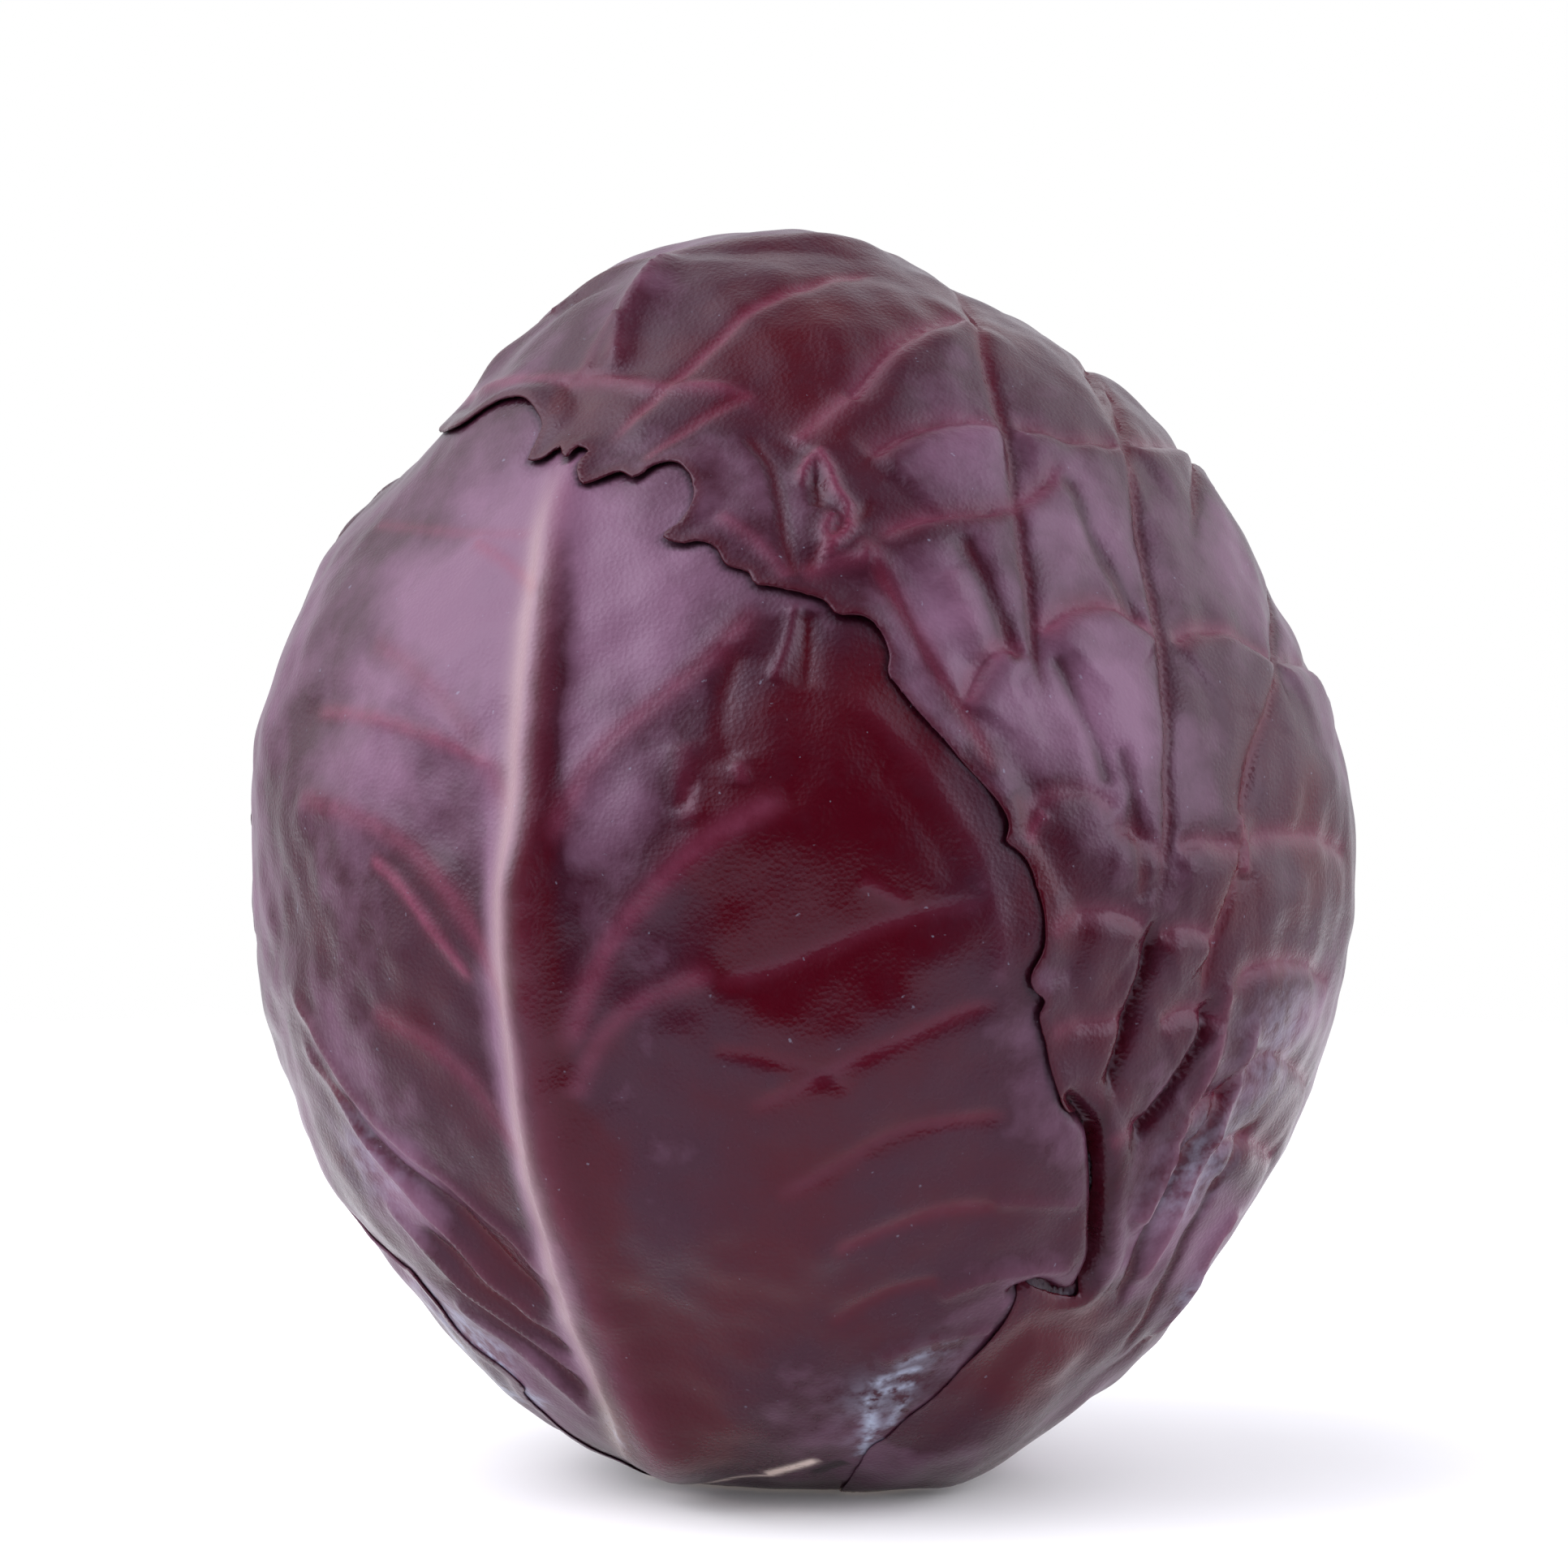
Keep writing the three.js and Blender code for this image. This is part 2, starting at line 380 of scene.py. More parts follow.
def lowest_nearby(radius, faces):
    """The least radius among each point and its neighbours."""
    low = radius.copy()
    for a, b in ((0, 1), (1, 2), (2, 0)):
        np.minimum.at(low, faces[:, a], radius[faces[:, b]])
        np.minimum.at(low, faces[:, b], radius[faces[:, a]])
    return low


def off_margin(outside, d, rim, rim_points):
    """The direction that leads off the leaf at each point of its margin."""
    outward = np.cross(outside[rim[:, 1]] - outside[rim[:, 0]], d[rim[:, 0]])
    total = np.zeros_like(outside)
    np.add.at(total, rim[:, 0], outward)
    np.add.at(total, rim[:, 1], outward)
    return unit(total[rim_points])


def closed_faces(faces, inner_faces, rim, rim_points, count):
    """Faces of the closed leaf; its points are the outside, then the inside, then the margin's middle."""
    inner_points, inner_faces = np.unique(inner_faces, return_inverse=True)
    inner_faces = inner_faces.reshape(-1, 3) + count
    under, edge = np.zeros(count, int), np.zeros(count, int)
    under[inner_points] = np.arange(len(inner_points)) + count
    edge[rim_points] = np.arange(len(rim_points)) + count + len(inner_points)
    a, b = rim.T
    ring = np.vstack([
        np.stack([b, a, edge[a]], 1), np.stack([b, edge[a], edge[b]], 1),
        np.stack([edge[b], edge[a], under[a]], 1), np.stack([edge[b], under[a], under[b]], 1),
    ])
    return inner_points, np.vstack([faces, inner_faces[:, ::-1], ring])


def leaf_mesh(name, outline, spacing, shape, material):
    """A closed leaf: its outside, its coarser inside and a rounded margin between them.

    shape(directions) gives the outside radius, the blade thickness and a dict of paint values.
    """
    xy, faces, inner_faces = clipped_grid(outline, spacing / MEAN_RADIUS)
    d = outline.unchart(xy)
    radius, thick, paint = shape(d)
    rim = rim_edges(faces)
    rim_points = np.unique(rim)
    lining = lowest_nearby(radius, faces)
    lining[rim_points] = radius[rim_points]
    outside = d * radius[:, None]
    inside = d * (lining - thick)[:, None]
    push = off_margin(outside, d, rim, rim_points) * thick[rim_points, None] * MARGIN_ROUND
    middle = (outside[rim_points] + inside[rim_points]) / 2 + push
    inner_points, everything = closed_faces(faces, inner_faces, rim, rim_points, len(d))
    points = np.vstack([outside, inside[inner_points], middle]) + CENTRE
    source = np.concatenate([np.arange(len(d)), inner_points, rim_points])
    paint = {key: value[source] for key, value in paint.items()}
    return solid(name, points, everything, paint, material)


# ---- Relief strokes ----
STROKE_FADE = 0.12       # the part of a stroke's length over which each end fades
CREST_SOFTNESS = 0.3


def strokes(kind, rows):
    """Marks drawn on the sketch, as a form of relief or in a paint.

    Each row has a size, a width and a pinkness, then the points of the path.
    """
    return [(kind, *row[:3], smooth_path(on_sketch(row[3:]))) for row in rows]


def relief_form(kind, s, side):
    """The cross section of a ridge, crest, groove or shelf at s widths from its path."""
    if kind == "ridge":
        return np.exp(-s * s)
    if kind == "shelf":
        # A shelf bulges on the right-hand side of its path only.
        return np.where(side > 0, 2.7 * s * np.exp(-s), 0)
    sharp = np.exp(-1.4 * (np.hypot(s, CREST_SOFTNESS) - CREST_SOFTNESS))
    return sharp if kind == "crest" else -sharp


def carve(marks, p, height, paint, nearest=None):
    """Adds the relief of marks to height and their colour to the paints.

    nearest, where given, gets the distance to the closest mark, which bounds the blade's pillows.
    """
    for kind, size, width, pink, path in marks:
        reach = 4 * width if nearest is None else max(4 * width, PILLOW_REACH)
        near, away, along, side = measure(p, path, reach)
        fade = ease(0, STROKE_FADE, along) * ease(1, 1 - STROKE_FADE, along)
        s = away / width
        if kind in paint:
            paint[kind][near] += size * fade * np.exp(-s * s)
            continue
        band = np.exp(-(away / (0.4 * width + 0.5)) ** 2) * fade
        if kind == "groove":
            paint["tint"][near] -= 0.45 * band
            # A deep groove's floor gets painted shade, near black at the deepest.
            dark = band * ease(0.8, 3.0, size)
            paint["dark"][near] = np.maximum(paint["dark"][near], dark)
        height[near] += size * fade * relief_form(kind, s, side)
        paint["pink"][near] = np.maximum(paint["pink"][near], pink * band)
        if nearest is not None:
            nearest[near] = np.minimum(nearest[near], away + 3 * (1 - fade))


RIGHT_LONG_VEINS = strokes("groove", [
    (0.39, 0.7, 0.18, (21, 164), (23.5, 159), (25, 153), (27, 147), (28.6, 141), (29.4, 134), (30.4, 126),
     (31.6, 119), (32.4, 112), (34, 104)),
    (0.45, 0.7, 0.18, (42, 152), (43.6, 148), (45, 140.5), (46.6, 134), (48.2, 127), (49.6, 119),
     (50.6, 111), (51, 103), (50.8, 96), (50.6, 89), (50, 82), (49, 75)),
    (0.45, 0.7, 0.18, (65, 122), (65.8, 112), (65, 106), (63.2, 98), (61.8, 90), (60.8, 84), (58.6, 76),
     (57, 69), (56, 61)),
    (0.39, 0.7, 0.18, (9.5, 124.5), (14, 117.5), (18.5, 109.5), (23.5, 101.5), (27, 94)),
])
# Deep valleys, whose floors get painted shade, then the stalk's ridge and redder tint at the base.
RIGHT_VALLEYS = strokes("groove", [
    (2.2, 1.0, 0, (49.4, 76), (48.4, 69), (46.4, 62), (44, 55), (42.2, 49), (41.4, 44), (41, 38)),
    (2.2, 0.9, 0, (58, 65), (55.8, 58.4), (52.6, 52), (48.6, 46.6), (45, 42.4), (42.6, 37.6), (41.4, 33),
     (40.8, 28)),
    (1.0, 1.2, 0, (62, 56), (58, 49), (54, 42), (50, 35), (47, 28), (44, 21)),
    (0.9, 1.2, 0, (64, 48), (60, 42), (56, 35), (52, 28), (48, 21), (44, 15)),
]) + strokes("ridge", [
    (1.4, 7.0, 0, (20, -2), (26, 4), (32, 11), (38, 18)),
]) + strokes("tint", [
    (-0.3, 5.0, 0, (12, 2), (20, 8), (28, 14), (36, 19)),
])
RIGHT_ARCS = strokes("shelf", [
    (1.1, 3.2, 0.59, (32.6, 113.6), (35, 116.4), (38, 118.2), (41.5, 118.9), (45, 118), (48, 116),
     (50.4, 113.6)),
    (1.0, 3.0, 0.52, (51.6, 113.2), (54, 115), (57.5, 115.3), (61, 114), (64, 111.8), (66, 110.4)),
    (0.9, 2.6, 0.33, (66, 110.6), (68.5, 110.6), (71, 108.6), (73, 105)),
    (1.2, 3.6, 0.39, (9, 138.5), (13, 141.3), (18, 143.3), (23, 143.9), (28.5, 143.2)),
    (0.8, 3.0, 0.33, (28.8, 143.6), (33, 143), (38, 141.6), (42, 141.2), (45, 140.6)),
    (0.9, 2.6, 0.33, (45.4, 140.6), (49, 140.8), (53, 139.4), (56, 136)),
    (0.9, 2.8, 0.45, (10, 126.5), (13, 129), (17, 130.3), (22, 130.9), (27, 131.6), (31, 133), (34.4, 136),
     (35.6, 139)),
    (1.0, 2.6, 0.52, (22, 104), (24, 108), (26, 111.6), (28.6, 113), (31.6, 111.6)),
    (1.0, 3.2, 0.45, (-1, 140.5), (3, 144.6), (7, 147.6), (10, 151), (13.4, 154), (18, 156.6), (23.6, 158)),
    (0.4, 2.6, 0.26, (31, 89), (33.6, 92), (37, 93), (40.6, 92.4), (43.8, 89.6)),
    (0.4, 2.4, 0.26, (42.6, 87.6), (46, 87), (48.6, 85.2), (50.6, 82.8)),
    (0.8, 2.6, 0.33, (33.5, 73), (36.6, 75), (41, 76), (45, 75.4), (48, 73.6)),
    (0.6, 2.2, 0.26, (34, 59), (38, 60.3), (42, 60.4), (46, 61.4)),
    (0.8, 2.6, 0.39, (51.4, 84.6), (55, 85.8), (58, 85.2), (61, 85)),
    (0.5, 2.8, 0.4, (61, 85), (63.6, 86.3), (68, 86.8), (72, 86.2), (75, 84)),
    (0.8, 2.2, 0.33, (50, 72), (53, 73.6), (56.4, 73), (58, 71)),
    (0.5, 2.8, 0.4, (59.4, 64.4), (62, 67.8), (66, 69), (70, 68.6), (73, 66)),
    (0.8, 2.4, 0.33, (50, 59.6), (53, 61.8), (56.6, 62), (59, 60)),
    (0.6, 2.4, 0.33, (59.4, 51), (62, 54.6), (65, 56.4), (68, 55), (70, 52)),
    (0.8, 2.0, 0.33, (53.6, 47), (56.4, 49.4), (59.4, 50.6)),
    (0.8, 2.2, 0.39, (57, 41.6), (59.6, 44), (62.4, 44.2), (65, 42.4)),
    (0.6, 2.0, 0.26, (42.4, 44), (45, 45.4), (48, 46)),
])
# The top: pale cross vein, thin dark vein, and the fold that the front leaf's rib presses up.
TOP_FOLDS = strokes("crest", [
    (0.8, 1.8, 0.5, (-49, 146.4), (-41, 148.2), (-33, 149.4), (-26, 149.2), (-20, 148.2), (-13, 148.3),
     (-8, 147.4), (-4, 145)),
    (2.2, 2.4, 0.2, (-13, 170), (-17, 167), (-21, 161.4), (-24.4, 156), (-25.6, 150)),
    (0.9, 2.0, 0.2, (-30, 149.4), (-28, 153), (-24.6, 157)),
]) + strokes("groove", [
    (0.5, 1.0, 0.5, (10, 164.4), (1, 162.4), (-7, 158.4), (-12, 154), (-17, 149.4), (-22, 145), (-27, 140)),
    (0.35, 0.9, 0.4, (-6, 148.4), (-10, 146.4), (-16, 142.6), (-22, 137.6)),
    (0.5, 0.9, 0, (-32, 149.6), (-33, 147), (-34.2, 144)),
])
# The crumpled knot above the front leaf's middle.
KNOT_FOLDS = strokes("crest", [
    (1.3, 1.0, 0.7, (0.4, 134), (0.4, 137), (2.4, 139.4), (3.8, 137.4), (4.8, 134), (6.6, 131.6),
     (6.8, 129), (4.4, 126.4), (2, 124.4)),
    (0.9, 1.1, 0.5, (4.6, 131), (3.4, 128.6), (3.8, 126)),
    (0.8, 1.3, 0.4, (-1.4, 121.6), (-6, 127), (-12, 131)),
]) + strokes("groove", [
    (0.8, 1.0, 0, (1.6, 136.4), (2.6, 134), (2.4, 131.6)),
    (0.5, 0.9, 0, (-0.6, 121.6), (-2, 127), (-3, 133), (-4.4, 138.6), (-8, 143)),
    (0.5, 0.9, 0, (0.6, 122.4), (3, 126), (7, 129.6), (10, 133)),
])
RIGHT_FOLDS = strokes("crest", [
    (1.5, 2.6, 0.4, (8, 128.4), (11, 123), (15.6, 115), (21, 106), (25, 99), (28, 94.6)),
    (1.0, 2.0, 0.4, (0, 122), (4, 124), (10, 124.4)),
    (1.0, 1.8, 0.5, (-1, 141), (3, 144.6), (7, 147.6)),
    (1.0, 1.5, 0.4, (60.8, 90), (61.4, 86), (61, 81)),
    (1.2, 1.2, 0.5, (33.6, 90.4), (32, 88), (31.4, 85.4)),
    (1.2, 1.6, 0.3, (59.6, 68), (58.4, 60), (56.4, 53), (53, 46), (49.4, 39), (46, 31)),
    (1.2, 1.5, 0.3, (63, 62), (61, 54), (58, 46), (54.4, 38.6), (50.6, 31), (46.6, 24)),
    (0.9, 1.2, 0.3, (52, 44), (49, 38), (46, 33)),
    (1.0, 1.4, 0.3, (60, 36), (56, 30), (51.6, 23), (47, 16.6)),
]) + strokes("ridge", [
    (0.8, 2.4, 0.1, (20, 123), (23, 117), (25.4, 111)),
]) + strokes("groove", [
    (0.7, 2.0, 0, (21.6, 128), (25, 122), (28, 115.6), (30.6, 110)),
    (0.9, 2.0, 0, (35, 112), (38, 106), (40.6, 100), (43, 93)),
    (0.8, 2.0, 0, (36, 137), (40, 130), (44.6, 122), (48, 116)),
    (1.0, 1.6, 0, (29, 93), (30.8, 89), (32.6, 84), (35, 78)),
    (0.7, 1.7, 0, (44, 100), (45.6, 92), (46.6, 84), (47.4, 77)),
])
RIB_CREST = [
    (-22, 0), (-24.4, 6), (-27.6, 13), (-30.6, 21), (-33.4, 31), (-35.6, 41), (-37.2, 50), (-38.4, 60),
    (-39, 70), (-39, 80), (-38.6, 90), (-38, 100), (-37, 110), (-35.8, 120), (-34.4, 130), (-33, 140),
]
FRONT_RIB = strokes("ridge", [
    (2.8, 5.0, 0.3, (-17, -3), (-19.5, 4), (-24, 12), (-28, 22), (-31.4, 32), (-34, 42), (-35.6, 52),
     (-36.8, 62), (-37.2, 72), (-37.2, 82), (-36.8, 92)),
    (1.9, 3.0, 0.3, (-33, 38), (-35.6, 52), (-36.8, 62), (-37.2, 72), (-37.2, 82), (-36.8, 92), (-36, 102),
     (-35, 112), (-34, 122), (-32.6, 132), (-31.4, 142)),
# The tint strokes paint a highlight on the rib's lit left flank and shade on its right and lower right
# flank.
]) + strokes("tint", [
    (0.9, 3.0, 0, (-27, 7), (-31, 17), (-35, 31), (-38.4, 46), (-40.4, 60), (-41, 75), (-40.6, 90),
     (-39.6, 105), (-38, 120), (-36, 134)),
    (-0.9, 2.2, 0, (-12, 0), (-19, 10), (-25, 22), (-29, 34), (-32, 46), (-34, 58), (-35, 70), (-35.4, 82),
     (-35.2, 92), (-34.8, 102), (-34, 112), (-33, 122), (-32, 132)),
    (-0.5, 4.0, 0, (-12, 0), (-18, 12), (-24, 26), (-28, 40), (-31, 52)),
]) + strokes("crest", [(0.9, 1.4, 0.15, *RIB_CREST)])
# A pale stripe runs along the left of the rib's crest: the rib's pale colour and a painted highlight on its
# lit flank.
FRONT_RIB += strokes("cream", [(0.24, 2.1, 0, *((x - 1, up) for x, up in RIB_CREST))])
FRONT_VEINS = strokes("ridge", [
    (0.9, 2.8, 0.47, (-34, 84), (-32, 91), (-28.4, 97.6), (-23, 103), (-17, 108), (-11, 113), (-5.4, 119)),
    (1.0, 3.0, 0.53, (-32, 56), (-29.4, 65), (-25.4, 73), (-20, 79.4), (-14, 85), (-8, 89), (-1, 92)),
    (0.8, 2.4, 0.41, (-31, 50), (-28, 58), (-23, 63), (-17, 66), (-11, 68)),
    (0.8, 2.6, 0.47, (-39.6, 60), (-42, 68), (-45.6, 75), (-51, 82), (-57, 87), (-64, 90.4), (-70, 92)),
    (0.5, 2.6, 0.35, (-39.4, 88), (-43, 96), (-48, 104), (-54, 110), (-60, 114)),
    (0.6, 2.8, 0.35, (-37.4, 42), (-42, 48), (-47, 54), (-53, 59), (-60, 63)),
]) + strokes("crest", [
    (0.5, 1.2, 0.78, (-45, 66), (-50, 73), (-55, 79.4), (-60, 84)),
    (0.6, 1.4, 0.65, (-40, 95), (-45, 97.6), (-51, 100.4), (-57, 102.4), (-63, 103.8), (-68, 104)),
    (0.35, 0.9, 0.39, (-36, 128), (-44, 129), (-52, 129.6), (-59, 129.6)),
    (0.5, 1.2, 0.65, (-35, 119), (-40, 124), (-46, 128)),
])
FRONT_FURROWS = strokes("groove", [
    (0.45, 1.8, 0.2, (-13, 66), (-5, 67.6), (3, 70.6), (10, 73.6), (18, 76.4), (27, 77.6)),
    (0.6, 1.8, 0.2, (-8, 48), (0, 51.6), (8, 56), (15, 59), (22, 62), (28, 64)),
    (0.7, 1.8, 0.2, (-4, 36), (4, 39.6), (10, 43.2), (16, 45.8), (22, 47), (30, 47.6)),
    (0.6, 2.0, 0.2, (4, 28.6), (10, 30.8), (16, 33), (22, 34.6), (28, 34.8)),
    (0.6, 1.8, 0.1, (4, 18.6), (9, 21.6), (14, 23.6), (20, 24.8)),
    (0.5, 1.6, 0.1, (-13, 57), (-6, 56), (2, 54), (7, 51)),
    (0.3, 2.4, 0, (10, 96), (15, 91), (19, 85), (21.6, 79)),
    (0.7, 1.8, 0, (0.6, 118), (1, 113), (0.4, 107)),
    (0.7, 2.4, 0, (-9, 113), (-10.6, 107), (-11, 101), (-9.4, 96)),
    (0.8, 1.0, 0.1, (-15, 95), (-15.6, 92), (-16.4, 90)),
]) + strokes("crest", [
    (0.8, 1.8, 0.1, (18, 22.4), (24, 25.2), (31, 26.8), (38, 27.4)),
    (0.6, 1.5, 0.1, (10, 14), (16, 16.6), (22, 17.6), (27, 18.6)),
    (0.5, 1.2, 0.1, (26, 35.6), (32, 36), (39, 35.6)),
    (0.4, 1.0, 0.2, (8, 80.6), (12, 78.6), (15.4, 76.6)),
    (0.5, 2.2, 0.1, (6, 107), (12, 101.6), (17.6, 95), (22.4, 88), (26, 80), (27.6, 72), (27, 64)),
    (0.9, 1.0, 0.2, (-0.8, 119), (-1.2, 115), (-2.4, 111.4), (-4, 108)),
    (0.6, 0.9, 0.3, (-9.4, 96.6), (-8, 95.4), (-8.2, 93.8)),
]) + strokes("ridge", [
    (0.6, 2.2, 0.2, (-16.4, 100), (-16, 94), (-15, 88)),
])
FRONT_PLEATS = strokes("crest", [
    (1.3, 1.7, 0.2, (-33, 17), (-40, 23.6), (-47, 30), (-54, 37), (-60, 45), (-65, 53), (-69, 58.6)),
    (0.9, 1.5, 0.2, (-33, 24), (-41, 31), (-49, 38), (-56, 44.6), (-62, 52), (-67, 60), (-71, 66)),
    (0.9, 1.4, 0.1, (-30, 11), (-37, 17), (-44, 23), (-51, 29.6), (-58, 37)),
    (0.7, 1.3, 0.1, (-28, 6), (-34, 11.6), (-41, 17.4), (-48, 23.4)),
]) + strokes("groove", [
    (1.0, 1.5, 0, (-33, 20.4), (-41, 27.4), (-49, 34.6), (-56, 41), (-62, 49), (-67, 56)),
    (0.8, 1.3, 0, (-31, 13.6), (-38, 19.8), (-46, 26.6), (-53, 33)),
    (0.8, 1.3, 0, (-29, 8.6), (-35, 14), (-42, 20), (-49, 26)),
])
# The crevice beside the right leaf's margin: deep grooves whose floors get painted shade.
FRONT_CREVICE = strokes("groove", [
    (4.2, 1.05, 0, (36, 52), (38.2, 49.4), (40.6, 46.6), (41.4, 42), (41.6, 37), (41.2, 32), (41, 28),
     (39.6, 25), (38, 22)),
    (1.8, 0.9, 0, (27.6, 23.4), (30, 24), (32, 25), (34.4, 24), (36, 23), (38.6, 23.4)),
])
# Torn cream flesh at the base, painted shade in a gap there, and frosty wax beside the stalks.
FRONT_MARKS = strokes("cream", [
    (1.3, 0.8, 0, (-5, -1.8), (-2, -1.2), (0.6, -0.4), (2.6, 0.2)),
    (0.9, 0.45, 0, (-20, -1.6), (-14, -2.2), (-8, -2.2), (-3, -1.8)),
]) + strokes("dark", [
    (1.6, 1.2, 0, (1.6, -2), (3.8, -1.2), (6.4, -0.4)),
]) + strokes("wax", [
    (0.8, 0.8, 0, (8, 0), (9.2, 2.6), (9.8, 5), (9.4, 8)),
    (0.7, 0.7, 0, (8.6, 8), (11.6, 9.6), (16.4, 10.4)),
    (0.7, 0.7, 0, (9.6, 10.6), (12.6, 11.8), (17, 12.8)),
    (0.6, 0.6, 0, (10.6, 1.4), (12.2, 4), (13.4, 6.6), (15.2, 9)),
    (0.4, 0.7, 0, (12.6, 13.2), (17, 15), (22.4, 16.8)),
    (0.5, 1.0, 0, (-51, 23.6), (-45.6, 18), (-40.4, 13), (-36.4, 9.4)),
])


def patches(paint, rows):
    """Soft round patches that add to one of a leaf's paints; rows of x, up, radius and change."""
    return [(paint, on_sketch([row[:2]])[0] * MEAN_RADIUS, *row[2:]) for row in rows]


# Bloom patches: the bloom's own patchiness, partly painted sheen where they lighten the leaf and painted
# shade where they darken it; the wax patches are frosty wax.
FRONT_PATCHES = patches("bloom_and_painted_light", [
    (6, 104, 14, -0.6), (2, 88, 16, -0.7), (8, 78, 16, -0.8), (-2, 70, 12, -0.4), (-24, 128, 16, 0.5),
    (-46, 118, 20, 0.6), (-24, 106, 14, 0.4), (-56, 96, 16, 0.4), (-28, 90, 9, 0.2), (-30, 108, 9, -0.2),
    (-70, 70, 14, -0.1), (-68, 54, 12, -0.1), (-57, 39, 9, 0.5), (-29, 40, 7, -0.4), (-27, 20, 8, -0.4),
    (-16, 6, 10, -0.4), (20, 54, 10, -0.5), (24, 78, 5, 0.4), (-10, 20, 14, -0.3), (22, 88, 10, 0.2),
    (-2, 22, 15, -0.45), (2, 44, 14, -0.25), (20, 34, 12, -0.15), (-50, 60, 14, -0.2),
    (-46, 42, 10, -0.25),
]) + patches("wax", [
    (-60, 42, 8, 0.2), (11, 9, 4, 0.35), (10, 4, 3, 0.35), (-46, 19.4, 4, 0.5), (-42, 15.4, 3, 0.6),
    (-36.4, 9, 2, 0.8), (-51, 24, 4, 0.4), (18, 14, 4, 0.15), (-25, 6, 2, 0.5),
])
# Bloom and wax patches: partly the skin's own bloom and wax, partly painted sheen where they lighten the
# ridges and painted shade where they darken the leaf.
RIGHT_PATCHES = patches("bloom_and_painted_light", [
    (2, 156, 18, -0.6), (-28, 148, 8, -0.3), (10, 130, 12, -0.3), (-36, 148, 9, 0.2), (18, 146, 12, 0.3),
    (20, 118, 8, 0.4), (38, 126, 12, 0.3), (42, 108, 12, 0.6), (62, 80, 9, -0.5), (70, 90, 8, -0.4),
    (71, 80, 9, -0.4), (20, 136, 9, 0.5), (58, 128, 12, 0.3), (54, 27, 9, 0.3), (28, 12, 12, -0.5),
    (36, 18, 8, -0.5), (51, 33, 9, 0.2),
]) + patches("wax", [
    (66, 58, 9, 0.2), (53, 25, 4, 0.35), (55, 40, 8, 0.3),
])
BACK_PATCHES = patches("wax", [
    (-52, 21, 4, 0.5), (-47, 15.4, 4, 0.7), (-41, 9.6, 3, 0.8),
])


# ---- Veins on the sides that the sketch doesn't reach ----
LATERAL_STARTS = (-72, -58, -42, -26, -10, 6, 22, 38, 54)
LATERAL_REACH = 78
LATERAL_LIFTS = (30, 44)
ARC_PLACES = (15, 31, 47, 62)


def faces_sketch(path):
    """How squarely the middle of a path faces the camera, from 1 to -1."""
    return unit(path.mean(0)) @ -SIGHT


def rising(start, rng):
    """How far up the leaf a lateral vein runs, as a function of the distance across it, in degrees."""
    lift, turn = rng.uniform(*LATERAL_LIFTS), rng.uniform(0, 6)
    short, long = rng.uniform(7, 11), rng.uniform(15, 22)

    def curve(across):
        wave = 1.8 * np.sin(across / short) + 2.6 * np.sin(across / long + turn)
        return start + lift * (across / LATERAL_REACH) ** 0.8 + wave

    return curve


def leaf_net(azimuth, seed, seen=1.0):
    """Laterals that rise off a midrib, with short cross veins arching between them.

    Veins that face the sketch by more than seen are left out.
    """
    rng = np.random.default_rng(seed)
    net = []
    across = np.linspace(2, LATERAL_REACH, 14)
    for side in (-1, 1):
        curves = [rising(start + rng.uniform(-3, 3), rng) for start in LATERAL_STARTS]
        for curve in curves:
            path = smooth_path(on_leaf(np.stack([curve(across), side * across], 1), azimuth))
            net.append(("groove", rng.uniform(0.5, 0.8), rng.uniform(0.8, 1.1), 0.15, path))
        for lower, upper in zip(curves, curves[1:]):
            for place in ARC_PLACES:
                a = place + rng.uniform(-4, 4)
                b = a + rng.uniform(-5, 7)
                middle = ((lower(a) + upper(b)) / 2, side * ((a + b) / 2 + rng.uniform(3, 7)))
                points = [(lower(a), side * a), middle, (upper(b), side * b)]
                # Every cross vein bulges towards the midrib, on the right-hand side of its path.
                path = smooth_path(on_leaf(points[::-side], azimuth))
                size, width, pink = rng.uniform((0.6, 2.8, 0.2), (1.1, 3.8, 0.45))
                net.append(("shelf", size, width, pink, path))
    return [s for s in net if faces_sketch(s[4]) < seen]


def midrib(azimuth, size, width, low=-74, high=66):
    points = np.stack([np.linspace(low, high, 16), 2 * np.sin(np.linspace(0, 5, 16))], 1)
    return "ridge", size, width, 0.35, smooth_path(on_leaf(points, azimuth))


